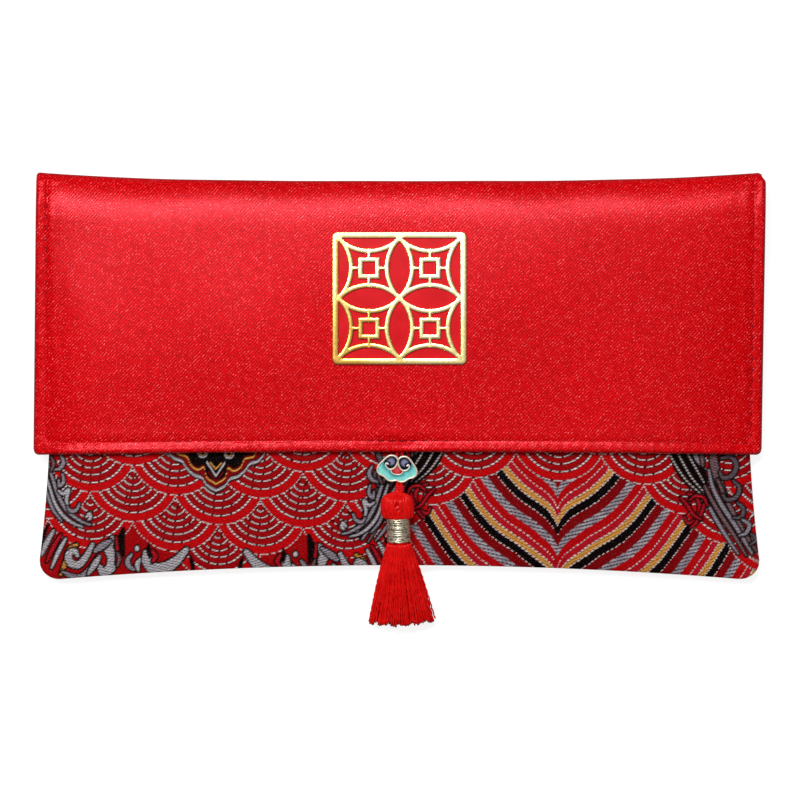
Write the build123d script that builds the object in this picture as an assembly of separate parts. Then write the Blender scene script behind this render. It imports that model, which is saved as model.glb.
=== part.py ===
# Padded cloth gift envelope with a flap, a metal emblem, an enamelled charm and a tassel.
# It lies on its back: X runs across it, Y towards the fold and Z up from the table. Millimetres.
import math
import os

from build123d import *

# Pouch plan
POUCH_HALF_WIDTH = 92.0  # side seam at the bottom corners
WAIST_DRAW = 3.5  # side seams drawn in at mid height by the filling
CORNER_Y = -52.0  # bottom corners
BOTTOM_DRAW = 4.0  # bottom seam drawn in at its middle by the filling
SEAM_TOP_Y = 49.4  # upper ends of the side seams
CORNER_RADIUS = 5.5
MOUTH_STEP = 5.4  # upper edge of the front wall below the top
FOLD_INSET = 0.7  # line of the two fold hinges inside the top

# Heights of the pouch
SEAM_BOTTOM_Z = 4.5  # bottom seam
SEAM_TOP_Z = 2.6  # upper ends of the side seams
SEAM_RIM = 0.4  # cloth above and below the seam at the edge
FRONT_RISE = 3.15  # bulge of the front above its chord
MOUTH_Z = 9.2  # outer face of the front at the middle of the mouth
BACK_DROP = 3.1  # bulge of the back below its chord
BACK_FOLD_Z = 1.2  # outer face of the back at the fold
CROWN_POWER = 6
STATION_SHARES = (-1, -0.93, -0.83, -0.66, -0.38, 0, 0.38, 0.66, 0.83, 0.93, 1)

# Cloth layers
FRONT_CLOTH = 0.6
BACK_CLOTH = 1.0  # cloth with its stiffener
COVER_CLOTH = 0.6
WADDING = 0.8
LINING = 0.3
LAYER_GAP = 0.1
PADDING_INSET = 11.0  # wadding and lining stop this far inside the seam
LINING_TUCK = 1.0  # the lining reaches this much further than the wadding
TURN_IN = 1.6  # wadding and lining stop this far short of a turned edge
SHEET_MARGIN = 1.5  # sheets are made this much too large and trimmed to their outline

# Flap
FLAP_OVERHANG = 0.3  # flap beyond the side seams, each side
FLAP_LENGTH = 68.6  # from the folded edge to the middle of the hem
HEM_DROP = 0.8  # hem corners below its middle
FLAP_EAR = 2.1  # corners of the folded edge beyond its middle
HEM_RADIUS = 1.5
EAR_RADIUS = 2.0
HEM_WIDTH = 4.0  # solid turned hem
WADDING_SLACK = 0.1

# Fold
FOLD_RADIUS = 0.5  # half the thickness of the fold strip, and of its round edges
FOLD_GAP = 0.15
FOLD_SHORT = 1.0  # fold strip inside the side seams, each side
FOLD_LINING_SHORT = 0.9

# Topstitching
STITCH_INSET = 2.9
STITCH_PITCH = 2.7
STITCH_LENGTH = 2.0
STITCH_RADIUS = 0.2
MOUTH_STITCH_SHORT = 8.6  # row on the mouth inside the side seams, each side

# Press stud
STUD_ABOVE_HEM = 10.2
STUD_RADIUS = 4.6
STUD_PLATE = 0.3
STUD_SEAT = 0.05  # plates lie this far off the cloth
STUD_CLEARANCE = 0.16  # between the sewing of the two plates
BALL_RADIUS = 1.0
BALL_SHORT = 0.13  # ball off the cloth behind the socket
BALL_CLEARANCE = 0.25
SEW_HOLE_RADIUS = 0.55
SEW_CIRCLE = 3.1
SEW_COUNT = 4
SEW_THREAD_WIDTH = 0.5
SEW_THREAD_LENGTH = 1.9
SEW_THREAD_HEIGHT = 0.12

# Emblem
EMBLEM_WIDTH = 33.8
EMBLEM_HEIGHT = 33.4
EMBLEM_Y = 19.6
EMBLEM_RADIUS = 1.3
EMBLEM_BAR = 1.5
EMBLEM_METAL = 0.6
EMBLEM_FILM = 0.25
EMBLEM_SEAT = 0.03
FILM_INSET = 0.5
RING_BAR = 1.15  # strokes of the lattice
COIN_SQUARE = 5.4  # square eye in each ring
BRIDGE_BAR = 0.8
RING_CENTRE_SHARES = (-0.75, -0.25, 0.25, 0.75)  # of the lattice's sides
COIN_CENTRE_SHARES = (-0.25, 0.25)

# Pendant plane: all of the pendant lies on a slope from the hem down to the bottom seam
PENDANT_REST = 0.85  # pendant plane above the front wall at the bottom seam
KNOT_RADIUS = 0.55
KNOT_HALF_LENGTH = 1.2
KNOT_GAP = 0.12
KNOT_OVER = 0.3  # hanger knot above the outer face of the flap
CORD_RADIUS = 0.35
POST_RADIUS = 0.35
POST_GAP = 0.05
POST_HEAD = 0.12
POST_UP = 0.9  # charm's post above the charm's middle

# Charm
CHARM_DROP = 0.35  # top of the charm below the hanger knot's axis
CHARM_PLATE = 1.2
CHARM_LIFT = 0.3  # charm above the cord
LOBE_X = 1.95
LOBE_Y = 1.55
LOBE_RADIUS = 1.85
SIDE_X = 3.55
SIDE_Y = -0.55
SIDE_RADIUS = 1.6
FOOT_X = 1.55
FOOT_Y = -1.7
FOOT_RADIUS = 1.75
WEB_WIDTH = 5.6
WEB_HEIGHT = 3.0
CELL_WALL = 0.3  # raised metal between the enamels
CELL_DEPTH = 0.5
CELL_GAP = 0.03
CURL_RADIUS = 0.5
HEART_RADIUS = 0.55
HEART_Y = -0.25

# Link
LINK_STEP = 0.65  # from the link's cross knot down to its upright knot
LINK_PIN_LOW = 0.7  # upright knot below the cross knot
LINK_PIN_OVER = 0.75  # upright knot above the tassel axis

# Tassel
TASSEL_LIFT = 2.45  # tassel axis above the pendant plane
HEAD_GAP = 0.15  # head below the upright knot
HEAD_LENGTH = 7.4
HEAD_HALF_WIDTH = 4.2
HEAD_HALF_DEPTH = 3.1
HEAD_LENGTH_SHARES = (0, 0.12, 0.36, 0.62, 0.86, 1)
HEAD_WIDTH_SHARES = (0.3, 0.72, 1, 0.97, 0.76, 0.62)
HEAD_DEPTH_SHARES = (0.3, 0.72, 1, 0.99, 0.88, 0.8)
CORE_RADIUS = 2.45
CORE_GAP = 0.1
BINDING_RADIUS = 0.25  # metallic thread
BINDING_GAP = 0.05
BINDING_PITCH = 0.94
BINDING_TURNS = 7
BINDING_START = 0.3
SKIRT_GAP = 0.15
SKIRT_ROOT = 1.0
SKIRT_ROOT_RADIUS = 2.9
SKIRT_LENGTH = 20.0
SKIRT_JAG = 0.9
SKIRT_HALF_WIDTH = 8.3
SKIRT_HALF_DEPTH = 3.0
STRAND_SIDE = 0.19
STRAND_RINGS = 10
STRAND_CIRCLE = 2.7
STRAND_PER_RING = 6
JAG_STEP = 2.4  # turn of the jag from one strand to the next, in radians

os.makedirs("parts", exist_ok=True)

# Places that follow from the sizes
WAIST_HALF_WIDTH = POUCH_HALF_WIDTH - WAIST_DRAW
CROWN_HALF_WIDTH = POUCH_HALF_WIDTH - WAIST_DRAW / 2
BOTTOM_Y = CORNER_Y + BOTTOM_DRAW
MOUTH_Y = SEAM_TOP_Y - MOUTH_STEP
FOLD_Y = SEAM_TOP_Y - FOLD_INSET
FLAP_HALF_WIDTH = POUCH_HALF_WIDTH + FLAP_OVERHANG
FLAP_TOP_Y = SEAM_TOP_Y
FLAP_END_Y = FLAP_TOP_Y + FLAP_EAR
HEM_Y = FLAP_TOP_Y - FLAP_LENGTH
FLAP_GAP = 2 * (STUD_SEAT + STUD_PLATE + SEW_THREAD_HEIGHT) + STUD_CLEARANCE
FLAP_RISE = FRONT_RISE * ((FLAP_END_Y - HEM_Y) / (MOUTH_Y - BOTTOM_Y)) ** 2
FOLD_HALF_WIDTH = POUCH_HALF_WIDTH - FOLD_SHORT
STUD_Y = HEM_Y + STUD_ABOVE_HEM
CHARM_DOWN = CHARM_DROP + LOBE_Y + LOBE_RADIUS
POST_DOWN = CHARM_DOWN - POST_UP
LINK_DOWN = CHARM_DOWN + FOOT_RADIUS - FOOT_Y + KNOT_RADIUS + KNOT_GAP
LINK_PIN_DOWN = LINK_DOWN + LINK_STEP
HEAD_START = KNOT_RADIUS + HEAD_GAP
POUCH_SHEET_HALF = POUCH_HALF_WIDTH + SHEET_MARGIN
FLAP_SHEET_HALF = FLAP_HALF_WIDTH + SHEET_MARGIN
TALL = POUCH_HALF_WIDTH
WIDE = FLAP_HALF_WIDTH + HEM_WIDTH


# Shapes of the soft faces, as heights over the table
def bulge(x):
    return 1 - abs(x / CROWN_HALF_WIDTH) ** CROWN_POWER


def bottom(x):
    return BOTTOM_Y + (CORNER_Y - BOTTOM_Y) * (x / POUCH_HALF_WIDTH) ** 2


def seam(y):
    return SEAM_BOTTOM_Z + (SEAM_TOP_Z - SEAM_BOTTOM_Z) * (y - CORNER_Y) / (SEAM_TOP_Y - CORNER_Y)


def hump(y, start, end, start_z, end_z, rise):
    share = (y - start) / (end - start)
    return start_z + (end_z - start_z) * share + 4 * rise * share * (1 - share)


def front_z(x, y):
    rim = seam(MOUTH_Y) + SEAM_RIM
    mouth = rim + bulge(x) * (MOUTH_Z - rim)
    return hump(y, bottom(x), MOUTH_Y, SEAM_BOTTOM_Z + SEAM_RIM, mouth, FRONT_RISE * bulge(x))


def back_z(x, y):
    return hump(y, bottom(x), SEAM_TOP_Y, SEAM_BOTTOM_Z - SEAM_RIM, BACK_FOLD_Z, -BACK_DROP * bulge(x))


def flap_z(x, y):
    hem = front_z(x, HEM_Y) + FLAP_GAP
    fold = front_z(0, FLAP_END_Y) + FLAP_GAP
    return hump(y, HEM_Y, FLAP_END_Y, hem, fold, FLAP_RISE * bulge(x))


# Cloth sheets
def section(height, x, low, high, under, over):
    def at(y, offset):
        return (x, y, height(x, y) + offset)

    middle = (low + high) / 2
    return Wire(
        [
            ThreePointArc(at(low, over), at(middle, over), at(high, over)),
            Line(at(high, over), at(high, under)),
            ThreePointArc(at(high, under), at(middle, under), at(low, under)),
            Line(at(low, under), at(low, over)),
        ]
    )


def sheet(height, half_width, low, high, under, over):
    places = [share * half_width for share in STATION_SHARES]
    return Solid.make_loft([section(height, x, low(x), high, under, over) for x in places])


def block(x0, x1, y0, y1, z0, z1):
    return Pos((x0 + x1) / 2, (y0 + y1) / 2, (z0 + z1) / 2) * Box(x1 - x0, y1 - y0, z1 - z0)


def prism(plan):
    return extrude(Pos(0, 0, -TALL) * plan, 2 * TALL)


def pouch_plan(inset, top):
    corner = POUCH_HALF_WIDTH - inset
    waist = WAIST_HALF_WIDTH - inset
    low = CORNER_Y + inset
    edges = [
        ThreePointArc((-corner, low), (0, BOTTOM_Y + inset), (corner, low)),
        ThreePointArc((corner, low), (waist, 0), (corner, SEAM_TOP_Y)),
        Line((corner, SEAM_TOP_Y), (-corner, SEAM_TOP_Y)),
        ThreePointArc((-corner, SEAM_TOP_Y), (-waist, 0), (-corner, low)),
    ]
    plan = make_face(edges)
    plan = fillet(plan.vertices().sort_by(Axis.Y)[:2], CORNER_RADIUS)
    return plan - Pos(0, top + TALL) * Rectangle(2 * WIDE, 2 * TALL)


def hem(x):
    return HEM_Y - HEM_DROP * (x / FLAP_HALF_WIDTH) ** 2


def flap_plan(inset):
    half = FLAP_HALF_WIDTH - inset
    low = HEM_Y - HEM_DROP + inset
    edges = [
        ThreePointArc((-half, low), (0, HEM_Y + inset), (half, low)),
        Line((half, low), (half, FLAP_END_Y)),
        ThreePointArc((half, FLAP_END_Y), (0, FLAP_TOP_Y), (-half, FLAP_END_Y)),
        Line((-half, FLAP_END_Y), (-half, low)),
    ]
    plan = make_face(edges)
    plan = fillet(plan.vertices().sort_by(Axis.Y)[:2], HEM_RADIUS)
    return fillet(plan.vertices().sort_by(Axis.Y)[-2:], EAR_RADIUS)


def seam_side(above):
    run = SEAM_TOP_Y - CORNER_Y
    drop = SEAM_TOP_Z - SEAM_BOTTOM_Z
    slope = Plane((0, CORNER_Y, SEAM_BOTTOM_Z), x_dir=(1, 0, 0), z_dir=(0, -drop, run))
    middle = TALL if above else -TALL
    return slope * Pos(0, 0, middle) * Box(4 * WIDE, 4 * WIDE, 2 * TALL)


def save(name, solids):
    shape = solids[0] if len(solids) == 1 else Compound(solids)
    export_step(shape, f"parts/{name}.step")


def bottom_margin(x):
    return bottom(x) - SHEET_MARGIN


def hem_margin(x):
    return HEM_Y - HEM_DROP - SHEET_MARGIN


# Pouch walls, each of cloth, wadding and lining
def front_layer(under, over, inset, top):
    whole = sheet(front_z, POUCH_SHEET_HALF, bottom_margin, MOUTH_Y + SHEET_MARGIN, under, over)
    return whole & prism(pouch_plan(inset, top)) & seam_side(True)


def back_layer(under, over, inset, top):
    whole = sheet(back_z, POUCH_SHEET_HALF, bottom_margin, SEAM_TOP_Y + SHEET_MARGIN, under, over)
    table = block(-WIDE, WIDE, -WIDE, WIDE, 0, TALL)
    return whole & prism(pouch_plan(inset, top)) & seam_side(False) & table


front_pad_over = -FRONT_CLOTH - LAYER_GAP
front_lining_over = front_pad_over - WADDING - LAYER_GAP
padding_top = MOUTH_Y - TURN_IN
lining_inset = PADDING_INSET - LINING_TUCK
save("front_panel", [front_layer(-FRONT_CLOTH, 0, 0, MOUTH_Y)])
save("front_wadding", [front_layer(front_pad_over - WADDING, front_pad_over, PADDING_INSET, padding_top)])
save("front_lining", [front_layer(front_lining_over - LINING, front_lining_over, lining_inset, padding_top)])

back_pad_under = BACK_CLOTH + LAYER_GAP
back_lining_under = back_pad_under + WADDING + LAYER_GAP
fold_side = FOLD_Y - TURN_IN
save("back_panel", [back_layer(0, BACK_CLOTH, 0, SEAM_TOP_Y)])
save("back_wadding", [back_layer(back_pad_under, back_pad_under + WADDING, PADDING_INSET, fold_side)])
save("back_lining", [back_layer(back_lining_under, back_lining_under + LINING, lining_inset, fold_side)])

# Flap of cover, wadding and lining, with a solid turned hem
cover_under = LINING + LAYER_GAP
skin_under = cover_under + WADDING + LAYER_GAP
FLAP_THICKNESS = skin_under + COVER_CLOTH


def flap_layer(under, over):
    return sheet(flap_z, FLAP_SHEET_HALF, hem_margin, FLAP_END_Y + SHEET_MARGIN, under, over)


below_fold = block(-WIDE, WIDE, -WIDE, fold_side, -TALL, TALL)
inner_half = FLAP_HALF_WIDTH - HEM_WIDTH
inside_hem = block(-inner_half, inner_half, HEM_Y + HEM_WIDTH, WIDE, -TALL, TALL)
at_fold = block(-WIDE, WIDE, fold_side, WIDE, -TALL, TALL)
hollow = flap_layer(0, skin_under) & (inside_hem + at_fold)
pad_half = inner_half - WADDING_SLACK
pad_low = HEM_Y + HEM_WIDTH + WADDING_SLACK
pad_area = block(-pad_half, pad_half, pad_low, fold_side - WADDING_SLACK, -TALL, TALL)
save("flap_cover", [(flap_layer(cover_under, FLAP_THICKNESS) & prism(flap_plan(0))) - hollow])
save("flap_wadding", [flap_layer(cover_under, cover_under + WADDING) & pad_area])
save("flap_lining", [flap_layer(0, LINING) & prism(flap_plan(0)) & below_fold])

# Fold strip between the back and the flap, with a round edge on each hinge line
low_hinge_z = back_z(FOLD_HALF_WIDTH, FOLD_Y) + BACK_CLOTH + FOLD_GAP + FOLD_RADIUS
high_hinge_z = flap_z(FLAP_HALF_WIDTH, FOLD_Y) + skin_under - FOLD_GAP - FOLD_RADIUS
across = Plane((-FOLD_HALF_WIDTH, FOLD_Y, (low_hinge_z + high_hinge_z) / 2), x_dir=(0, 0, 1), z_dir=(1, 0, 0))
strip = SlotCenterToCenter(high_hinge_z - low_hinge_z, 2 * FOLD_RADIUS)
save("fold_cover", [extrude(across * strip, 2 * FOLD_HALF_WIDTH)])
fold_inner = FOLD_Y - FOLD_RADIUS - LAYER_GAP
lining_low = low_hinge_z + FOLD_LINING_SHORT
lining_high = high_hinge_z - FOLD_LINING_SHORT
save("fold_lining", [block(-pad_half, pad_half, fold_inner - LINING, fold_inner, lining_low, lining_high)])


# Topstitching, each stitch lying half sunk in the cloth
def stitch(height, offset, x, y, along_x, along_y):
    reach_x = along_x * STITCH_LENGTH / 2
    reach_y = along_y * STITCH_LENGTH / 2
    start = Vector(x - reach_x, y - reach_y, height(x - reach_x, y - reach_y) + offset)
    end = Vector(x + reach_x, y + reach_y, height(x + reach_x, y + reach_y) + offset)
    run = end - start
    return Solid.make_cylinder(STITCH_RADIUS, run.length, Plane(start, z_dir=run))


def spread(start, end):
    count = int((end - start) / STITCH_PITCH)
    return [start + (end - start) * (k + 1 / 2) / count for k in range(count)]


side = FLAP_HALF_WIDTH - STITCH_INSET
hem_stitches = [stitch(flap_z, FLAP_THICKNESS, x, hem(x) + STITCH_INSET, 1, 0) for x in spread(-side, side)]
side_rows = spread(HEM_Y + STITCH_INSET, fold_side)
side_stitches = [stitch(flap_z, FLAP_THICKNESS, x, y, 0, 1) for x in (-side, side) for y in side_rows]
save("flap_topstitch", hem_stitches + side_stitches)
mouth_row = MOUTH_Y - STITCH_INSET
mouth_half = WAIST_HALF_WIDTH - MOUTH_STITCH_SHORT
save("mouth_topstitch", [stitch(front_z, 0, x, mouth_row, 1, 0) for x in spread(-mouth_half, mouth_half)])

# Press stud between the front wall and the flap
stud_slope = (front_z(0, STUD_Y + STUD_RADIUS) - front_z(0, STUD_Y - STUD_RADIUS)) / (2 * STUD_RADIUS)
stud = Plane((0, STUD_Y, front_z(0, STUD_Y)), x_dir=(1, 0, 0), z_dir=(0, -stud_slope, 1))
holes = PolarLocations(SEW_CIRCLE, SEW_COUNT) * Circle(SEW_HOLE_RADIUS)
ball_under = FLAP_GAP - STUD_SEAT - STUD_PLATE


def sewing(level):
    thread = Box(SEW_THREAD_LENGTH, SEW_THREAD_WIDTH, SEW_THREAD_HEIGHT)
    place = PolarLocations(SEW_CIRCLE + SEW_THREAD_LENGTH / 2, SEW_COUNT)
    return [stud * Pos(0, 0, level) * spot * thread for spot in place]


socket_plate = Circle(STUD_RADIUS) - holes - Circle(BALL_RADIUS + BALL_CLEARANCE)
save("snap_socket", [stud * Pos(0, 0, STUD_SEAT) * extrude(socket_plate, STUD_PLATE)])
ball_plate = Pos(0, 0, ball_under) * extrude(Circle(STUD_RADIUS) - holes, STUD_PLATE)
ball = Pos(0, 0, BALL_SHORT) * extrude(Circle(BALL_RADIUS), ball_under - BALL_SHORT)
save("snap_ball", [stud * (ball_plate + ball)])
save("snap_socket_thread", sewing(STUD_SEAT + STUD_PLATE + SEW_THREAD_HEIGHT / 2))
save("snap_ball_thread", sewing(ball_under - SEW_THREAD_HEIGHT / 2))

# Emblem, bent to the crown of the flap: a film and a pierced metal lattice of coin rings
inner_width = EMBLEM_WIDTH - 2 * EMBLEM_BAR
inner_height = EMBLEM_HEIGHT - 2 * EMBLEM_BAR
ring_radius = inner_width / 4 * math.sqrt(2)
eye_inner = COIN_SQUARE - 2 * RING_BAR


def emblem_layer(plan, under, over):
    low = EMBLEM_Y - EMBLEM_HEIGHT
    whole = sheet(flap_z, EMBLEM_WIDTH, lambda x: low, EMBLEM_Y + EMBLEM_HEIGHT, under, over)
    return whole & prism(Pos(0, EMBLEM_Y) * plan)


def lattice_spots(shares):
    return [Pos(i * inner_width, j * inner_height) for i in shares for j in shares]


ring = Circle(ring_radius + RING_BAR / 2) - Circle(ring_radius - RING_BAR / 2)
eye = Rectangle(COIN_SQUARE, COIN_SQUARE) - Rectangle(eye_inner, eye_inner)
bridge_far = inner_width / 2 - ring_radius
bridge_near = COIN_SQUARE / 2 - RING_BAR / 2
bridge = Pos((bridge_near + bridge_far) / 2, 0) * Rectangle(bridge_far - bridge_near, BRIDGE_BAR)
coin = eye + [Rot(0, 0, quarter) * bridge for quarter in (0, 90, 180, 270)]
lattice = Sketch() + [spot * ring for spot in lattice_spots(RING_CENTRE_SHARES)]
lattice = lattice & Rectangle(inner_width + EMBLEM_BAR, inner_height + EMBLEM_BAR)
lattice = lattice + [spot * coin for spot in lattice_spots(COIN_CENTRE_SHARES)]
frame = RectangleRounded(EMBLEM_WIDTH, EMBLEM_HEIGHT, EMBLEM_RADIUS) - Rectangle(inner_width, inner_height)
film = RectangleRounded(EMBLEM_WIDTH - 2 * FILM_INSET, EMBLEM_HEIGHT - 2 * FILM_INSET, EMBLEM_RADIUS)
film_under = FLAP_THICKNESS + EMBLEM_SEAT
metal_under = film_under + EMBLEM_FILM + EMBLEM_SEAT
save("emblem_film", [emblem_layer(film, film_under, film_under + EMBLEM_FILM)])
save("emblem_lattice", [emblem_layer(lattice + frame, metal_under, metal_under + EMBLEM_METAL)])

# Pendant: hanger loop, charm, link and tassel, all laid out on one slope
hanger_y = HEM_Y - KNOT_RADIUS - KNOT_GAP
hanger_z = flap_z(0, HEM_Y) + FLAP_THICKNESS + KNOT_OVER
tilt = math.atan2(hanger_z - SEAM_BOTTOM_Z - SEAM_RIM - PENDANT_REST, hanger_y - BOTTOM_Y)
pendant = Plane((0, hanger_y, hanger_z), x_dir=(1, 0, 0), z_dir=(0, -math.sin(tilt), math.cos(tilt)))


def cross_knot(half_length):
    return Rot(0, 90, 0) * Cylinder(KNOT_RADIUS, 2 * half_length)


bend = POST_RADIUS + POST_GAP + CORD_RADIUS
loop_path = Wire(
    [
        Line((-bend, 0), (-bend, -POST_DOWN)),
        ThreePointArc((-bend, -POST_DOWN), (0, -POST_DOWN - bend), (bend, -POST_DOWN)),
        Line((bend, -POST_DOWN), (bend, 0)),
    ]
)
loop = sweep(Plane((-bend, 0, 0), z_dir=(0, -1, 0)) * Circle(CORD_RADIUS), path=loop_path)
save("hanger_loop", [pendant * (loop + cross_knot(KNOT_HALF_LENGTH))])

# Charm: a pierced cloud plate with enamel in its cells
charm_under = CORD_RADIUS + CHARM_LIFT
charm_over = charm_under + CHARM_PLATE


def pair(x, y, radius):
    return [Pos(x * hand, y) * Circle(radius) for hand in (-1, 1)]


def cloud(trim):
    web = Rectangle(WEB_WIDTH - 2 * trim, WEB_HEIGHT - 2 * trim)
    return web + pair(SIDE_X, SIDE_Y, SIDE_RADIUS - trim) + pair(FOOT_X, FOOT_Y, FOOT_RADIUS - trim)


def cells(gap):
    trim = CELL_WALL + gap
    wide_heart = Pos(0, HEART_Y) * Circle(HEART_RADIUS + CELL_WALL + gap)
    lower = cloud(trim) - pair(LOBE_X, LOBE_Y, LOBE_RADIUS + gap) - wide_heart
    lower = lower - Pos(0, HEART_Y + LOBE_RADIUS) * Rectangle(2 * LOBE_X, 2 * LOBE_RADIUS)
    curls = pair(LOBE_X, LOBE_Y, CURL_RADIUS + gap)
    lobes = [disc - curl for disc, curl in zip(pair(LOBE_X, LOBE_Y, LOBE_RADIUS - trim), curls)]
    heart = Pos(0, HEART_Y) * Circle(HEART_RADIUS - gap)
    return lower, lobes, heart


plate = extrude(Sketch() + cloud(0) + pair(LOBE_X, LOBE_Y, LOBE_RADIUS), CHARM_PLATE)
sunk_lower, sunk_lobes, sunk_heart = cells(0)
floor_z = CHARM_PLATE - CELL_DEPTH
for cell in [sunk_lower, *sunk_lobes, sunk_heart]:
    plate = plate - Pos(0, 0, floor_z) * extrude(cell, 2 * CELL_DEPTH)
post_y = CHARM_DOWN - POST_DOWN
post_length = charm_under + CORD_RADIUS + POST_GAP + POST_HEAD
post_head = Pos(0, post_y, POST_HEAD / 2 - post_length) * Cylinder(2 * POST_RADIUS, POST_HEAD)
post = Pos(0, post_y, -post_length / 2) * Cylinder(POST_RADIUS, post_length)
charm = pendant * Pos(0, -CHARM_DOWN, charm_under)
save("charm_plate", [charm * (plate + post + post_head)])
fill_lower, fill_lobes, fill_heart = cells(CELL_GAP)
fill_z = floor_z + CELL_GAP
fill = CELL_DEPTH - 2 * CELL_GAP
save("charm_turquoise", [charm * Pos(0, 0, fill_z) * extrude(fill_lower, fill)])
save("charm_indigo", [charm * Pos(0, 0, fill_z) * extrude(lobe, fill) for lobe in fill_lobes])
save("charm_coral", [charm * Pos(0, 0, fill_z) * extrude(fill_heart, fill)])

# Link: a knot across, under the charm, joined to an upright knot at the head of the tassel
link_z = (charm_under + charm_over) / 2
pin_length = TASSEL_LIFT + LINK_PIN_OVER - link_z + LINK_PIN_LOW
pin = Pos(0, -LINK_PIN_DOWN, link_z - LINK_PIN_LOW + pin_length / 2) * Cylinder(KNOT_RADIUS, pin_length)
save("tassel_link", [pendant * (Pos(0, -LINK_DOWN, link_z) * cross_knot(KNOT_HALF_LENGTH) + pin)])

# Tassel, built along its own axis
tassel = pendant * Pos(0, -LINK_PIN_DOWN - HEAD_START, TASSEL_LIFT) * Rot(90, 0, 0)
head_shares = zip(HEAD_LENGTH_SHARES, HEAD_WIDTH_SHARES, HEAD_DEPTH_SHARES)
head_rings = [
    (Pos(0, 0, along * HEAD_LENGTH) * Ellipse(wide * HEAD_HALF_WIDTH, deep * HEAD_HALF_DEPTH)).wire()
    for along, wide, deep in head_shares
]
save("tassel_head", [tassel * Solid.make_loft(head_rings)])

core_start = HEAD_LENGTH + CORE_GAP
core_length = BINDING_TURNS * BINDING_PITCH + 2 * BINDING_START + 2 * BINDING_RADIUS
save("tassel_core", [tassel * Pos(0, 0, core_start + core_length / 2) * Cylinder(CORE_RADIUS, core_length)])

wound = CORE_RADIUS + BINDING_GAP + BINDING_RADIUS
wind_z = core_start + BINDING_START + BINDING_RADIUS


def wound_at(quarters):
    turn = quarters * math.pi / 2
    return Vector(wound * math.cos(turn), wound * math.sin(turn), wind_z + quarters * BINDING_PITCH / 4)


halves = range(0, 4 * BINDING_TURNS, 2)
turns = [ThreePointArc(wound_at(q), wound_at(q + 1), wound_at(q + 2)) for q in halves]
lead = Vector(0, 2 * BINDING_RADIUS, 0)
first = wound_at(0)
last = wound_at(4 * BINDING_TURNS)
winding = Wire([Line(first - lead, first), *turns, Line(last, last + lead)])
thread = sweep(Plane(first - lead, z_dir=lead) * Circle(BINDING_RADIUS), path=winding)
save("tassel_binding", [tassel * thread])
samples = [turn @ (k / 8) for turn in turns for k in range(8)]
near = min((a - b).length for i, a in enumerate(samples) for b in samples[i + 10 :])
print("least gap between turns of the binding", round(near - 2 * BINDING_RADIUS, 3))

# Skirt: strands that leave a root slice and spread without crossing
skirt_start = core_start + core_length + SKIRT_GAP
root_slice = Pos(0, 0, skirt_start + SKIRT_ROOT / 2) * Cylinder(SKIRT_ROOT_RADIUS, SKIRT_ROOT)
spots = [(0, 0)]
for circle in range(1, STRAND_RINGS + 1):
    for k in range(STRAND_PER_RING * circle):
        turn = 2 * math.pi * k / (STRAND_PER_RING * circle)
        reach = STRAND_CIRCLE * circle / STRAND_RINGS
        spots.append((reach * math.cos(turn), reach * math.sin(turn)))
strands = []
for number, (x, y) in enumerate(spots):
    length = SKIRT_LENGTH + SKIRT_JAG * math.sin(JAG_STEP * number)
    spread_x = x * (SKIRT_HALF_WIDTH / STRAND_CIRCLE - 1)
    spread_y = y * (SKIRT_HALF_DEPTH / STRAND_CIRCLE - 1)
    foot = Face.make_rect(STRAND_SIDE, STRAND_SIDE, Plane((x, y, skirt_start + SKIRT_ROOT / 2)))
    strands.append(Solid.extrude(foot, Vector(spread_x, spread_y, length)))
save("tassel_skirt", [tassel * root_slice.fuse(*strands)])
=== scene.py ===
import math
import random

import bpy
import numpy as np
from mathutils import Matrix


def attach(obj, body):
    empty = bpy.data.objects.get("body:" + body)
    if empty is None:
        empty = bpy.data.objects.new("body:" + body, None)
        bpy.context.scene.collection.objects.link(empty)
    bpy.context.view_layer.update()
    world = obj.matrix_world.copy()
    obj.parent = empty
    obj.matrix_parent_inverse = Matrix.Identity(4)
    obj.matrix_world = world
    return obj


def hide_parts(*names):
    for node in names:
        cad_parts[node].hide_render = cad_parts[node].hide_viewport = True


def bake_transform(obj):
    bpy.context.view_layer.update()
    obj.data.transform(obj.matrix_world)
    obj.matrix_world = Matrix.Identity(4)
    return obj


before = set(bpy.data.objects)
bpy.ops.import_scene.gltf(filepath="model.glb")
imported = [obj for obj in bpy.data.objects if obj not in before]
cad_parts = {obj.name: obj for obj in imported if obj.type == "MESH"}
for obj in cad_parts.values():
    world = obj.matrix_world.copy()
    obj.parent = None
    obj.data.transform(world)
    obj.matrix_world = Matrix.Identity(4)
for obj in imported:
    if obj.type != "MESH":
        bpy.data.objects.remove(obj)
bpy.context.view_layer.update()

# Lengths are millimetres until a mesh is made. X runs across the envelope, Y towards its fold, Z up.
MM = 0.001


# ---------------------------------------------------------------- shapes of the cloth
CROWN = 90.25  # half width of the walls' bulge
BOTTOM_Y, BOTTOM_DROP, BOTTOM_HALF = -48.0, 4.0, 92.0  # middle of the bottom seam, and its lower ends
SEAM_Y, SEAM_LENGTH, SEAM_Z, SEAM_FALL = -52.0, 101.4, 4.5, 1.9  # side seams, which sink towards the fold
SEAM_RIM, FRONT_FOOT_Z, BACK_FOOT_Z = 0.4, 4.9, 4.1
MOUTH_Y, MOUTH_Z, FRONT_RISE = 44.0, 9.2, 3.15
BACK_TOP_Y, BACK_TOP_Z, BACK_DROP = 49.4, 1.2, 3.1
HEM_Y, FLAP_TOP_Y, FLAP_OVER, FLAP_RISE = -19.2, 51.5, 1.1, 1.86
FLAP_HALF, FLAP_THICK, FLAP_MIDDLE = 92.3, 1.9, 0.95  # the middle of its cloth lies over its underside
ROLL_Y, ROLL_LENGTH, ROLL_DROP = 36.0, 12.0, 1.35  # from here the flap rolls down to the fold
FOLD_Y, FOLD_EAR = 49.35, 2.25  # middle of the folded edge, and how far its corners stand out
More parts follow.
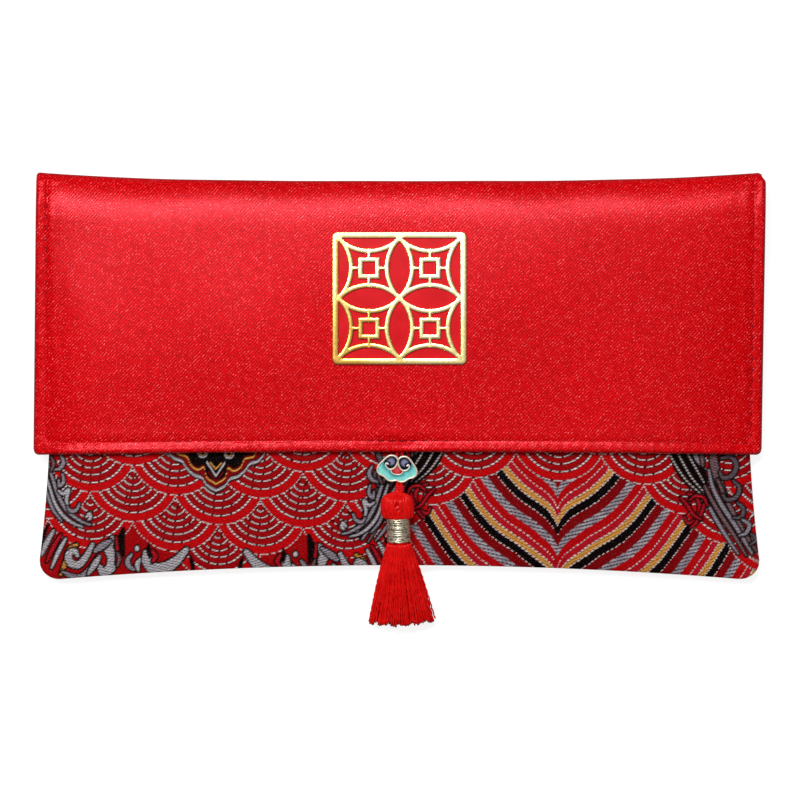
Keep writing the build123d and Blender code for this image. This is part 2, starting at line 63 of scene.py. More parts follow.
WAIST_Y, WAIST_HALF, FLARE, FLARE_LENGTH = -1.3, 88.5, 3.5, 50.7  # the pouch is narrowest at its waist
CORNER_HALF, CORNER_RADIUS = 91.4, 5.5
SPINE_Z = 6.2  # middle of the fold's height
STITCH_INSET, STITCH_PITCH = 2.9, 2.7


def bulge(x):
    return 1 - np.abs(x / CROWN) ** 6


def bottom(x):
    return BOTTOM_Y - BOTTOM_DROP * (x / BOTTOM_HALF) ** 2


def seam(y):
    return SEAM_Z - SEAM_FALL * (y - SEAM_Y) / SEAM_LENGTH


def hump(y, start, end, start_z, end_z, rise):
    """Height of a curve that bulges by rise over the middle of its chord."""
    share = (y - start) / (end - start)
    return start_z + (end_z - start_z) * share + 4 * rise * share * (1 - share)


def front_z(x, y):
    rim = seam(MOUTH_Y) + SEAM_RIM
    mouth_z = rim + bulge(x) * (MOUTH_Z - rim)
    return hump(y, bottom(x), MOUTH_Y, FRONT_FOOT_Z, mouth_z, FRONT_RISE * bulge(x))


def back_z(x, y):
    return np.maximum(hump(y, bottom(x), BACK_TOP_Y, BACK_FOOT_Z, BACK_TOP_Z, -BACK_DROP * bulge(x)), 0.0)


def flap_z(x, y):
    hem_z, top_z = front_z(x, HEM_Y) + FLAP_OVER, front_z(0.0, FLAP_TOP_Y) + FLAP_OVER
    roll = np.clip((y - ROLL_Y) / ROLL_LENGTH, 0, 1.1)
    return hump(y, HEM_Y, FLAP_TOP_Y, hem_z, top_z, FLAP_RISE * bulge(x)) - ROLL_DROP * roll**3


def fold_edge(x):
    return FOLD_Y + FOLD_EAR * np.abs(x / FLAP_HALF) ** 3.4


def pouch_half(y):
    return WAIST_HALF + FLARE * ((y - WAIST_Y) / FLARE_LENGTH) ** 2


def rounded(x, side, radius):
    """How far a rounded corner lifts the lower edge at x."""
    reach = np.clip(np.abs(x) - (side - radius), 0, radius)
    return radius - np.sqrt(radius**2 - reach**2)


def ramp(value, low, high):
    share = np.clip((value - low) / (high - low), 0, 1)
    return share * share * (3 - 2 * share)


def near(*distances):
    """Smooth least of several distances to an edge."""
    return sum(np.maximum(d, 1e-4) ** -3.0 for d in distances) ** (-1 / 3)


def shoulder(d, width):
    """Quarter round from 0 at an edge to 1 at that width."""
    return np.sqrt(np.clip(1 - (1 - np.clip(d / width, 0, 1)) ** 2, 0, 1))


def waves(x, y, seed, count, low, high):
    """Soft irregular swell of about unit height, its waves from low to high millimetres long."""
    dice = random.Random(seed)
    total = np.zeros_like(x)
    for _ in range(count):
        turn, phase, length = dice.uniform(0, math.pi), dice.uniform(0, 6.28), dice.uniform(low, high)
        total += np.sin((x * math.cos(turn) + y * math.sin(turn)) * 2 * math.pi / length + phase)
    return total / math.sqrt(count)


# ---------------------------------------------------------------- meshes
def make(name, verts, faces, material):
    mesh = bpy.data.meshes.new(name)
    mesh.from_pydata((np.asarray(verts, float) * MM).tolist(), [], faces)
    mesh.materials.append(material)
    mesh.polygons.foreach_set("use_smooth", [True] * len(mesh.polygons))
    mesh.update()
    piece = bpy.data.objects.new(name, mesh)
    bpy.context.scene.collection.objects.link(piece)
    return piece


def place(piece, body, slot, *nodes):
    """Hide the nodes of model.glb that a piece stands in for, and put it on the body it rides on, if it is
    given one.
    """
    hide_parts(*nodes)
    if body:
        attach(piece, body)


def colour_points(piece, layer, colours):
    """A colour on each point of a piece's mesh."""
    shades = np.ones((len(colours), 4), np.float32)
    shades[:, :3] = colours
    attribute = piece.data.color_attributes.new(layer, "FLOAT_COLOR", "POINT")
    attribute.data.foreach_set("color", shades.reshape(-1))


def plan(x, y):
    return np.stack([x, y], -1)


def lift(x, y, z):
    return np.stack([x, y, z], -1)


def unit(vectors):
    return vectors / np.linalg.norm(vectors, axis=1)[:, None]


def grid_quads(rows, cols, start, under):
    corner = (np.arange(rows - 1)[:, None] * cols + np.arange(cols - 1)[None, :] + start).reshape(-1)
    quads = np.stack([corner, corner + 1, corner + 1 + cols, corner + cols], 1)
    return quads[:, ::-1] if under else quads


def border(rows, cols, start, row_marks, col_marks):
    """Border of a grid once round from its lower left corner, with a mark from 0 to 4 on each point."""
    grid = np.arange(rows * cols).reshape(rows, cols) + start
    points = list(zip(col_marks[:-1], grid[0, :-1]))
    points += list(zip(1 + row_marks[:-1], grid[:-1, -1]))
    points += list(zip(3 - col_marks[:0:-1], grid[-1, :0:-1]))
    points += list(zip(4 - row_marks[:0:-1], grid[:0:-1, 0]))
    return points + [(4.0, points[0][1])]


def zip_borders(upper, lower):
    """Triangles that close the gap between two borders of unlike count."""
    faces, i, j = [], 0, 0
    while i < len(upper) - 1 or j < len(lower) - 1:
        if j == len(lower) - 1 or (i < len(upper) - 1 and upper[i + 1][0] <= lower[j + 1][0]):
            faces.append((upper[i][1], lower[j][1], upper[i + 1][1]))
            i += 1
        else:
            faces.append((upper[i][1], lower[j][1], lower[j + 1][1]))
            j += 1
    return faces


# Bake plan of a sheet: the upper face above, the smaller under face and the strip of the rim below it.
BAKE_SIZE, BAKE_TALLEST, BAKE_TOP, BAKE_MARGIN = 0.996, 0.62, 0.995, 0.002
UNDER_SHARE, UNDER_LOW = 0.60, 0.02
RIM_LEFT, RIM_LENGTH, RIM_WIDTH = 0.70, 0.28, 0.01


def set_uv(piece, layer, places):
    piece.data.uv_layers.new(name=layer).data.foreach_set("uv", places.astype(np.float32).reshape(-1))


def closed_sheet(name, top, under, top_marks, under_marks, material, flat):
    """A cloth of two faces, grids of (rows, cols, 3). flat holds the cloth's own plan on each grid."""
    size, under_size = top.shape[:2], under.shape[:2]
    count = size[0] * size[1]
    verts = np.vstack([top.reshape(-1, 3), under.reshape(-1, 3)])
    quads = np.vstack([grid_quads(*size, 0, False), grid_quads(*under_size, count, True)])
    rim = zip_borders(border(*size, 0, *top_marks), border(*under_size, count, *under_marks))
    piece = make(name, verts, quads.tolist() + [[int(v) for v in face] for face in rim], material)
    cloth = np.vstack([face.reshape(-1, 2) for face in flat])
    corner = np.zeros(len(piece.data.loops), np.int32)
    piece.data.loops.foreach_get("vertex_index", corner)
    set_uv(piece, "Cloth", cloth[corner])
    low, high = cloth.min(0), cloth.max(0)
    share = (cloth - low) / (high - low)
    tall = min(BAKE_TALLEST, (high[1] - low[1]) / (high[0] - low[0]))
    bake = share[corner] * (BAKE_SIZE, tall) + (BAKE_MARGIN, BAKE_TOP - tall)
    below = corner >= count
    bake[below] = share[corner[below]] * (UNDER_SHARE, UNDER_SHARE * tall) + (BAKE_MARGIN, UNDER_LOW)
    rim_start = 4 * len(quads)
    around = np.linspace(0.0, 1.0, len(corner) - rim_start)
    bake[rim_start:] = plan(RIM_LEFT + RIM_LENGTH * around, UNDER_LOW + RIM_WIDTH * below[rim_start:])
    set_uv(piece, "OFBake", bake)
    return piece


def ring_faces(rings, sides, closed=False):
    """Faces between rings of points, and over both ends unless the last ring meets the first."""
    faces = []
    for i in range(rings if closed else rings - 1):
        n = (i + 1) % rings
        for k in range(sides):
            m = (k + 1) % sides
            faces.append((i * sides + k, n * sides + k, n * sides + m, i * sides + m))
    if not closed:
        faces.append(tuple(range(sides)))
        faces.append(tuple(range(rings * sides - 1, (rings - 1) * sides - 1, -1)))
    return faces


class Parts:
    """Many small closed shapes gathered into one mesh."""

    def __init__(self):
        self.verts, self.faces = [], []

    def add(self, verts, faces):
        start = len(self.verts)
        self.verts.extend(verts)
        self.faces.extend([tuple(v + start for v in face) for face in faces])

    def tube(self, path, radii, sides, closed=False, up=(0.0, 0.0, 1.0)):
        """A tube along a path. Its sides are set out from the direction up."""
        path = np.asarray(path, float)
        radii = np.broadcast_to(np.asarray(radii, float), (len(path),))
        run = np.roll(path, -1, 0) - np.roll(path, 1, 0) if closed else np.gradient(path, axis=0)
        tangent = unit(run)
        side = np.cross(tangent, np.asarray(up, float))
        weak = np.linalg.norm(side, axis=1) < 1e-3
        side[weak] = np.cross(tangent[weak], (1.0, 0.0, 0.01))
        side = unit(side)
        rise = np.cross(side, tangent)
        turn = np.arange(sides) * 2 * math.pi / sides + math.pi / sides
        ring = np.cos(turn)[None, :, None] * side[:, None] + np.sin(turn)[None, :, None] * rise[:, None]
        verts = (path[:, None] + radii[:, None, None] * ring).reshape(-1, 3)
        self.add(verts.tolist(), ring_faces(len(path), sides, closed))

    def build(self, name, material):
        return make(name, self.verts, self.faces, material)


def smooth_path(points, steps=8, closed=False):
    """Catmull-Rom curve through points of any dimension."""
    p = np.asarray(points, float)
    if closed:
        a = np.vstack([p[-1], p, p[:2]])
    else:
        a = np.vstack([2 * p[0] - p[1], p, 2 * p[-1] - p[-2]])
    out, times = [], np.arange(steps) / steps
    for b0, b1, b2, b3 in zip(a, a[1:], a[2:], a[3:]):
        square, cube = 2 * b0 - 5 * b1 + 4 * b2 - b3, 3 * b1 - b0 - 3 * b2 + b3
        out.extend(0.5 * (2 * b1 + (b2 - b0) * t + square * t**2 + cube * t**3) for t in times)
    if not closed:
        out.append(p[-1])
    return np.array(out)


# ---------------------------------------------------------------- materials
class Shader:
    """A material with one Principled shader, and short ways to add and join nodes."""

    def __init__(self, name, **values):
        self.material = bpy.data.materials.new(name)
        self.material.use_nodes = True
        self.tree = self.material.node_tree
        self.bsdf = next(n for n in self.tree.nodes if n.type == "BSDF_PRINCIPLED")
        for key, value in values.items():
            socket = self.bsdf.inputs[key.replace("_", " ")]
            socket.default_value = (*value, 1.0) if isinstance(value, tuple) else value

    def node(self, kind, inputs=None, **settings):
        node = self.tree.nodes.new(kind)
        for key, value in settings.items():
            setattr(node, key, value)
        for key, value in (inputs or {}).items():
            if isinstance(value, bpy.types.NodeSocket):
                self.tree.links.new(value, node.inputs[key])
            else:
                node.inputs[key].default_value = value
        return node

    def math(self, operation, *values):
        return self.node("ShaderNodeMath", dict(enumerate(values)), operation=operation).outputs[0]

    def mix(self, share, first, second, blend="MIX"):
        first, second = ((*v, 1.0) if isinstance(v, tuple) else v for v in (first, second))
        inputs = {0: share, 6: first, 7: second}
        return self.node("ShaderNodeMix", inputs, data_type="RGBA", blend_type=blend).outputs[2]

    def tinted(self, colour, shade):
        """A colour times one share on all its channels."""
        grey = self.node("ShaderNodeCombineColor", {0: shade, 1: shade, 2: shade}).outputs[0]
        return self.mix(1.0, colour, grey, "MULTIPLY")

    def ramp(self, value, first, last, *between):
        """Colour ramp. Each stop is a place and a colour."""
        node = self.node("ShaderNodeValToRGB", {0: value})
        stops = node.color_ramp.elements
        for index, (at, colour) in enumerate((first, last)):
            stops[index].position, stops[index].color = at, (*colour, 1.0)
        for at, colour in between:
            stops.new(at).color = (*colour, 1.0)
        return node.outputs[0]

    def spread(self, value, low, high, to_low, to_high):
        inputs = {"Value": value, "From Min": low, "From Max": high, "To Min": to_low, "To Max": to_high}
        return self.node("ShaderNodeMapRange", inputs).outputs[0]

    def place(self, uv=False, scale=1.0, turn=0.0):
        """Coordinates in millimetres: the cloth's own plan, or the piece's place."""
        if uv:
            source, to_mm = self.node("ShaderNodeUVMap", uv_map="Cloth").outputs[0], 1.0
        else:
            source, to_mm = self.node("ShaderNodeTexCoord").outputs["Object"], 1000.0
        size = tuple((np.broadcast_to(scale, 3) * to_mm).tolist())
        inputs = {"Vector": source, "Rotation": (0.0, 0.0, turn), "Scale": size}
        return self.node("ShaderNodeMapping", inputs).outputs[0]

    def noise(self, where, scale, detail=2.0, roughness=0.5):
        inputs = {"Vector": where, "Scale": scale, "Detail": detail, "Roughness": roughness}
        return self.node("ShaderNodeTexNoise", inputs).outputs[0]

    def stripes(self, where, scale, wander=0.0, direction="X"):
        inputs = {"Vector": where, "Scale": scale, "Distortion": wander, "Detail": 1.0}
        return self.node("ShaderNodeTexWave", inputs, bands_direction=direction).outputs["Fac"]

    def colour(self, socket):
        self.tree.links.new(socket, self.bsdf.inputs["Base Color"])

    def rough(self, socket):
        self.tree.links.new(socket, self.bsdf.inputs["Roughness"])

    def bump(self, height, strength, distance):
        inputs = {"Height": height, "Strength": strength, "Distance": distance * MM}
        node = self.node("ShaderNodeBump", inputs)
        self.tree.links.new(node.outputs[0], self.bsdf.inputs["Normal"])


def satin():
    """Red satin: a fine slanting grain of raised threads, with painted glints on the highest threads and
    painted shade in the hollows between them.
    """
    tint = (1.0, 0.36, 0.46)
    s = Shader("red_satin", Metallic=0.05, Roughness=0.28, Specular_IOR_Level=0.21, Specular_Tint=tint)
    flat = s.place(True)
    slant = s.stripes(s.place(True, 1.0, 0.76), 0.50, 1.6)
    speck = s.noise(flat, 2.2, 2.0, 0.7)
    patch = s.noise(flat, 0.5, 2.0, 0.6)
    cloud = s.noise(flat, 0.03, 2.0)
    grain = s.math("ADD", s.math("MULTIPLY", slant, 0.42), s.spread(speck, 0.32, 0.68, -0.08, 0.56))
    grain = s.math("ADD", grain, s.spread(patch, 0.3, 0.7, -0.09, 0.09))
    # the grain's colour ramp paints shade into the hollows and pinkish glints onto the raised threads
    painted_hollow_shade, painted_glint_stop = (0.06, (0.34, 0.0002, 0.0006)), (1.0, (1.0, 0.23, 0.25))
    thread = s.ramp(grain, painted_hollow_shade, painted_glint_stop, (0.42, (0.68, 0.0006, 0.002)), (0.74, (0.94, 0.004, 0.008)))
    s.colour(s.tinted(thread, s.spread(cloud, 0.3, 0.7, 0.94, 1.04)))
    s.rough(s.spread(grain, 0.2, 0.9, 0.26, 0.18))
    s.bump(grain, 0.22, 0.10)
    return s.material


def brocade_cloth():
    """The woven pattern is a colour on each point of the mesh. Fine picks and wefts lie over it, with painted
    glints of pale pink.
    """
    s = Shader("brocade", Roughness=0.50, Specular_IOR_Level=0.03)
    colour = s.node("ShaderNodeVertexColor", layer_name="Weave").outputs[0]
    flat = s.place(True)
    picks = s.stripes(flat, 0.95, 0.6, "Y")
    warp = s.stripes(flat, 0.75, 0.8, "X")
    fuzz = s.noise(flat, 2.2, 3.0, 0.6)
    weave = s.math("ADD", s.math("MULTIPLY", picks, 0.6), s.math("MULTIPLY", warp, 0.4))
    tuft = s.spread(fuzz, 0.32, 0.68, 0.62, 1.22)
    shade = s.math("MULTIPLY", s.spread(weave, 0.15, 0.75, 0.78, 1.10), tuft)
    # painted glints: pale pink specks added to the silk's colour
    painted_glint_share = s.spread(s.noise(flat, 3.1, 1.0), 0.64, 0.80, 0.0, 0.30)
    s.colour(s.mix(painted_glint_share, s.tinted(colour, shade), s.mix(0.30, colour, (1.0, 0.75, 0.72), "ADD")))
    bright = s.node("ShaderNodeSeparateColor", {0: colour}).outputs[1]
    s.rough(s.spread(bright, 0.0, 0.5, 0.62, 0.36))
    s.bump(s.math("ADD", weave, s.math("MULTIPLY", fuzz, 0.5)), 0.5, 0.07)
    return s.material


def plain_cloth(name, dark, light, roughness=0.8):
    """Plain weave of fine yarn."""
    s = Shader(name, Roughness=roughness, Specular_IOR_Level=0.10)
    flat = s.place(True)
    warp = s.stripes(flat, 0.7, 0.7, "X")
    weft = s.stripes(flat, 0.7, 0.7, "Y")
    fuzz = s.noise(flat, 1.5, 3.0, 0.6)
    weave = s.math("ADD", s.math("MULTIPLY", warp, 0.5), s.math("MULTIPLY", weft, 0.5))
    tone = s.math("ADD", s.math("MULTIPLY", weave, 0.6), s.math("MULTIPLY", fuzz, 0.5))
    s.colour(s.mix(tone, dark, light))
    s.bump(weave, 0.5, 0.08)
    return s.material


def fibre(name, dark, light, roughness, stretch, bump=0.5, gloss=0.16):
    """Bundled or twisted thread, with fine streaks along it."""
    s = Shader(name, Roughness=roughness, Specular_IOR_Level=gloss, Specular_Tint=(1.0, 0.4, 0.4))
    streak = s.noise(s.place(scale=stretch), 1.0, 3.0, 0.6)
    clump = s.noise(s.place(), 0.35, 1.0)
    tone = s.math("ADD", s.spread(streak, 0.3, 0.7, 0.0, 0.75), s.spread(clump, 0.3, 0.7, -0.1, 0.3))
    s.colour(s.mix(tone, dark, light))
    s.bump(streak, bump, 0.06)
    return s.material


def metal(name, dark, light, roughness, grain, bump, metallic=1.0):
    """Plated metal with soft cloudy patches and fine wear. grain is patches to a millimetre."""
    s = Shader(name, Metallic=metallic, Roughness=roughness)
    cloud = s.noise(s.place(scale=grain), 1.0, 2.0)
    fine = s.noise(s.place(scale=grain), 14.0, 2.0, 0.6)
    s.colour(s.mix(s.spread(cloud, 0.32, 0.68, 0.0, 1.0), dark, light))
    s.rough(s.spread(fine, 0.3, 0.7, roughness * 0.8, roughness * 1.3))
    s.bump(fine, bump, 0.03)
    return s.material


def emblem_gold():
    """Polished gold with a painted reflection: deep at the lower left and pale at the upper right, as if it
    mirrored a soft light.
    """
    s = Shader("emblem_gold", Metallic=1.0, Roughness=0.26)
    split = s.node("ShaderNodeSeparateXYZ", {0: s.place()})
    # painted reflection: the colour turns paler towards the upper right
    slant = s.math("ADD", split.outputs[0], s.math("MULTIPLY", split.outputs[1], 0.45))
    cloud = s.spread(s.noise(s.place(), 0.06, 2.0), 0.3, 0.7, -0.30, 0.30)
    share = s.math("ADD", s.spread(slant, -14.0, 30.0, 0.0, 1.0), cloud)
    s.colour(s.ramp(share, (0.0, (0.84, 0.49, 0.11)), (1.0, (1.00, 0.95, 0.56)), (0.35, (1.00, 0.77, 0.27))))
    s.rough(s.spread(s.noise(s.place(), 1.4, 2.0), 0.3, 0.7, 0.20, 0.32))
    return s.material


def metallic_thread():
    """Crinkled metal-wrapped thread, drawn out round the winding: painted bright glints beside painted dark
    reflections on its facets.
    """
    s = Shader("metallic_thread", Metallic=0.92, Roughness=0.40)
    crinkle_for_painted_glints = s.noise(s.place(scale=(0.6, 1.9, 1.9)), 1.0, 2.0, 0.6)
    # painted glints on some facets and painted dark reflections on the others
    s.colour(s.ramp(crinkle_for_painted_glints, (0.36, (0.16, 0.11, 0.05)), (0.62, (1.0, 0.98, 0.90)), (0.46, (0.84, 0.76, 0.54))))
    s.rough(s.spread(crinkle_for_painted_glints, 0.3, 0.7, 0.48, 0.34))
    s.bump(crinkle_for_painted_glints, 0.8, 0.20)
    return s.material


def enamel():
    """Glassy enamel whose shading is a colour on each point of the mesh."""
    s = Shader("charm_enamel", Roughness=0.16, Specular_IOR_Level=0.22, Coat_Weight=0.12, Coat_Roughness=0.05)
    colour = s.node("ShaderNodeVertexColor", layer_name="Glaze").outputs[0]
    s.colour(s.tinted(colour, s.spread(s.noise(s.place(), 1.4, 2.0), 0.3, 0.7, 0.86, 1.12)))
    s.bump(s.noise(s.place(), 2.5, 1.0), 0.15, 0.05)
    return s.material


def film_cloth():
    """Smooth bright red film behind the emblem."""
    s = Shader("film", Roughness=0.34, Specular_IOR_Level=0.3, Specular_Tint=(1.0, 0.30, 0.30))
    cloud = s.noise(s.place(), 0.25, 2.0)
    fine = s.noise(s.place(), 5.0, 2.0)
    base = s.mix(s.spread(cloud, 0.3, 0.7, 0.0, 1.0), (0.66, 0.004, 0.010), (0.78, 0.008, 0.016))
    s.colour(s.mix(s.spread(fine, 0.5, 0.8, 0.0, 0.3), base, (0.88, 0.03, 0.03)))
    s.bump(fine, 0.12, 0.04)
    return s.material


SATIN = satin()
BROCADE = brocade_cloth()
LINING = plain_cloth("lining_cloth", (0.26, 0.003, 0.008), (0.52, 0.008, 0.016))
WADDING = plain_cloth("wadding", (0.62, 0.60, 0.56), (0.84, 0.82, 0.78), 0.95)
THREAD = fibre("red_thread", (0.20, 0.002, 0.005), (0.46, 0.006, 0.012), 0.45, 2.4)
STEEL = metal("stud_steel", (0.46, 0.46, 0.47), (0.70, 0.70, 0.72), 0.30, 0.30, 0.10)
GOLD = emblem_gold()
CHARM_GOLD = metal("charm_gold", (0.98, 0.84, 0.62), (1.0, 0.95, 0.84), 0.34, 0.6, 0.08, 0.40)
CORD = fibre("red_cord", (0.46, 0.003, 0.006), (0.92, 0.014, 0.016), 0.5, 2.5)
SILK = fibre("tassel_silk", (0.66, 0.001, 0.001), (1.0, 0.012, 0.010), 0.26, (3.2, 0.22, 3.2), 0.8, 0.34)
METALLIC = metallic_thread()
ENAMEL = enamel()
FILM = film_cloth()


# ---------------------------------------------------------------- woven pattern
# The pattern has its own plan in units of 1/3.95 mm: x to the right and y down, seen from above.
UNIT, ORIGIN_X, ORIGIN_Y = 3.95, 399.5, 376.0
STRIPE_AXIS, CREST_AXIS = 557.6, 216.0
PITCH, ROW, TILT, RADIUS = 42.6, 28.3, 0.037, 47.5
COLUMN0, BOTTOM0 = 132.6, 465.6
RINGS = (0.0, 9.6, 17.4, 24.4, 30.8, 37.2, 43.6)
# black line of the striped water: distance from its axis, and height
LINE_X = (-140, -80, -40, -10, 6, 14, 22, 30, 38, 46, 54, 64, 78, 100, 140)
LINE_Y = (620, 580, 553, 530, 519, 512.5, 507.5, 502.6, 497, 489.5, 481, 467.5, 447, 410, 340)
STEP_X, STEP_Y = 26.0, 39.5
FINE_PICKS, FINE_SHARE = 145, 0.345  # weft threads of the part that shows, and its share of the front
LEVEL_REACH, FAR = 15, 1e9  # how far from its middle a scale's line runs level, and beyond all distances


def dye(red, green, blue):
    share = np.array((red, green, blue), float) / 255
    return np.where(share <= 0.04045, share / 12.92, ((share + 0.055) / 1.055) ** 2.4)


DYES = {
    "band": dye(206, 5, 12),
    "scale": dye(168, 5, 12),
    "white": dye(255, 248, 244),
    "black": dye(10, 2, 3),
    "gold": dye(226, 156, 70),
    "grey": dye(160, 150, 160),
    "iron": dye(104, 90, 98),
    "crimson": dye(194, 20, 36),
    "dark": dye(136, 3, 10),
    "red": dye(196, 5, 12),
    "mauve": dye(132, 100, 106),
    "light": dye(200, 193, 199),
    "shade": dye(36, 0, 2),
    "seam": dye(236, 218, 214),
}
STRIPES = (
    (0.065, "black"),
    (0.080, "seam"),
    (0.27, "dark"),
    (0.435, "grey"),
    (0.60, "red"),
    (0.618, "seam"),
    (0.750, "crimson"),
    (0.774, "seam"),
    (0.884, "gold"),
    (0.908, "seam"),
    (1.0, "black"),
)
# strokes of the sprays and wave crests: points, width and dye
CREST_STROKES = (
    (((46, 462), (51, 476), (57, 494), (66, 510), (80, 521), (90, 525)), 3.0, "grey"),
    (((44, 472), (49, 488), (54, 503), (62, 515), (72, 523), (82, 527)), 2.8, "light"),
    (((44, 486), (48, 499), (53, 511), (61, 521)), 2.6, "grey"),
    (((60, 455), (63, 462), (60, 468), (54, 470)), 3.4, "grey"),
    (((50, 456), (53, 464), (50, 471)), 2.6, "mauve"),
    (((62, 474), (63, 482), (59, 486), (58, 480)), 3.0, "grey"),
    (((58, 491), (63, 494), (68, 490), (66, 500), (68, 507)), 3.2, "light"),
    (((79, 504), (76, 510), (70, 511), (67, 507)), 3.0, "grey"),
    (((86, 517), (89, 514), (90, 518), (88, 520)), 3.4, "light"),
    (((48, 524), (44, 533), (40, 545)), 4.0, "black"),
    (((53, 531), (46, 543), (41, 555)), 4.6, "light"),
    (((60, 535), (52, 549), (46, 562)), 3.6, "crimson"),
    (((65, 539), (58, 552), (51, 568)), 3.6, "light"),
    (((76, 545), (69, 550), (66, 560), (60, 575)), 5.4, "gold"),
    (((92, 545), (86, 556), (78, 565), (70, 563), (68, 555), (74, 551), (77, 556)), 7.0, "light"),
    (((96, 558), (90, 568), (80, 577), (70, 576), (62, 572)), 4.6, "grey"),
    (((112, 539), (108, 548), (112, 558), (110, 568), (103, 573), (99, 567)), 9.6, "light"),
    (((95, 551), (102, 546), (110, 541)), 6.4, "grey"),
    (((99, 557), (94, 565), (88, 574)), 5.4, "light"),
    (((116, 537), (117, 549), (116, 565)), 2.6, "crimson"),
    (((123, 529), (121, 541), (123, 556)), 7.6, "black"),
    (((117, 566), (119, 559), (117, 553)), 2.8, "mauve"),
    (((131, 555), (127, 561), (129, 567), (134, 570)), 4.4, "grey"),
    (((141, 559), (137, 564), (138, 571)), 4.2, "light"),
    (((146, 553), (147, 562), (154, 569), (165, 568), (176, 561), (186, 550)), 11.5, "light"),
    (((152, 551), (155, 557), (152, 562)), 4.0, "crimson"),
    (((149, 544), (148, 551), (149, 558)), 4.6, "black"),
    (((190, 556), (192, 565), (193, 573)), 4.8, "black"),
)
SPRAY_GROUNDS = (
    (((674, 440), (682, 458), (691, 474), (705, 493)), 25.0, "black"),
    (((690, 440), (695, 458), (700, 474), (706, 490)), 15.0, "black"),
)
SPRAY_LINES = (
    ((665, 446), (675, 464), (686, 480), (700, 493)),
    ((674, 446), (683, 463), (692, 478), (704, 492)),
    ((684, 446), (690, 458), (697, 470), (705, 484)),
)
SPRAY_STROKES = (
    (((693, 444), (696, 456), (700, 464)), 4.0, "grey"),
    (((700, 444), (702, 456), (703, 466)), 3.6, "mauve"),
    (((713, 442), (714, 462), (718, 478), (726, 497)), 8.0, "mauve"),
    (((718, 480), (726, 498), (736, 517), (748, 538), (757, 551)), 3.4, "mauve"),
    (((709, 470), (713, 487), (722, 505), (734, 523), (745, 541), (753, 554)), 3.6, "grey"),
    (((705, 486), (712, 500), (723, 518), (735, 536), (747, 556)), 3.2, "mauve"),
    (((703, 495), (710, 508), (719, 524), (731, 543), (739, 554)), 3.0, "grey"),
    (((722, 458), (731, 457), (737, 465), (733, 475), (724, 478), (720, 472)), 4.2, "iron"),
    (((734, 481), (740, 488), (737, 497), (728, 500), (723, 495)), 3.8, "iron"),
    (((738, 503), (744, 509), (742, 517), (734, 518)), 3.6, "iron"),
    (((743, 520), (750, 525), (747, 533), (740, 536)), 3.6, "grey"),
    (((752, 534), (757, 540), (751, 545)), 3.2, "iron"),
    (((688, 494), (696, 497), (700, 508), (696, 520), (688, 523), (685, 517)), 3.2, "crimson"),
    (((706, 497), (703, 510), (697, 522), (691, 528)), 2.8, "crimson"),
    (((681, 498), (688, 506), (694, 515), (702, 520)), 2.8, "crimson"),
    (((690, 500), (696, 496), (704, 498), (708, 506)), 2.6, "crimson"),
)
MEDALLION = (
    (166, 446), (168, 454), (174, 461), (182, 464), (187, 471), (194, 477), (202, 480), (207, 487),
    (216, 492),
)
MEDALLION_LINE = (
    (175, 446), (178, 455), (187, 458), (191, 466), (198, 470.5), (204, 468), (207, 478), (216, 484),
)
MEDALLION_Y = 446.0
MEDALLION_CHEVRONS = ((476, 1.5, 9, 1.3, "light"), (469, 1.1, 6, 0.9, "gold"), (481, 1.2, 8, 0.7, "dark"))
MEDALLION_EYE = (203.6, 453.5)
DROP_AWAY, DROP_Y, DROP_TILT_X = 79.3, 548.6, 136.7  # the two drops beside the crest's axis


def frac(value):
    return value - np.floor(value)


def paint(cloth, share, colour):
    share = np.clip(share, 0, 1)[..., None]
    cloth *= 1 - share
    cloth += share * colour


def line(distance, half):
    return np.clip((half - np.abs(distance)) / 0.5 + 0.5, 0, 1)


def find_scales(x, y):
    """The scale each point lies on: found or not, depth from its rim, and offset from its middle."""
    level = y - TILT * (x - COLUMN0)
    best = np.full(x.shape, FAR)
    depth, offset = np.zeros(x.shape), np.zeros(x.shape)
    for step in (-1, 0, 1):
        number = np.round((x - COLUMN0) / PITCH) + step
        column = COLUMN0 + number * PITCH
        across = x - column
        sag = RADIUS - np.sqrt(np.maximum(RADIUS**2 - across**2, 0))
        odd = np.mod(number, 2)
        tier = np.ceil((level + sag - BOTTOM0 - odd * ROW) / (2 * ROW))
        low = BOTTOM0 + odd * ROW + 2 * ROW * tier
        crest_side = column < CREST_AXIS + 175
        limit = np.where(crest_side, 582.0, 478 + 0.72 * np.maximum(0, np.abs(column - STRIPE_AXIS) - 85))
        open_crest = crest_side & (low > 560) & (np.abs(column - CREST_AXIS) > 10)
        better = (np.abs(across) < RADIUS) & (low <= limit) & ~open_crest & (low < best)
        reach = np.hypot(across, level - (low - RADIUS))
        best = np.where(better, low, best)
        depth = np.where(better, RADIUS - reach, depth)
        offset = np.where(better, across, offset)
    return best < FAR, depth, offset


def stripe_phase(x, y):
    """Which stripe of the striped water a point lies on, counted downwards from the black line."""
    away = np.abs(x - STRIPE_AXIS)
    level = y - (x - STRIPE_AXIS) * 0.044 - 9 * np.exp(-away / 4.5)
    low, high = np.full_like(x, -3.0), np.full_like(x, 4.0)
    for _ in range(22):
        middle = (low + high) / 2
        above = np.interp(away - STEP_X * middle, LINE_X, LINE_Y) + STEP_Y * middle < level
        low, high = np.where(above, middle, low), np.where(above, high, middle)
    return (low + high) / 2


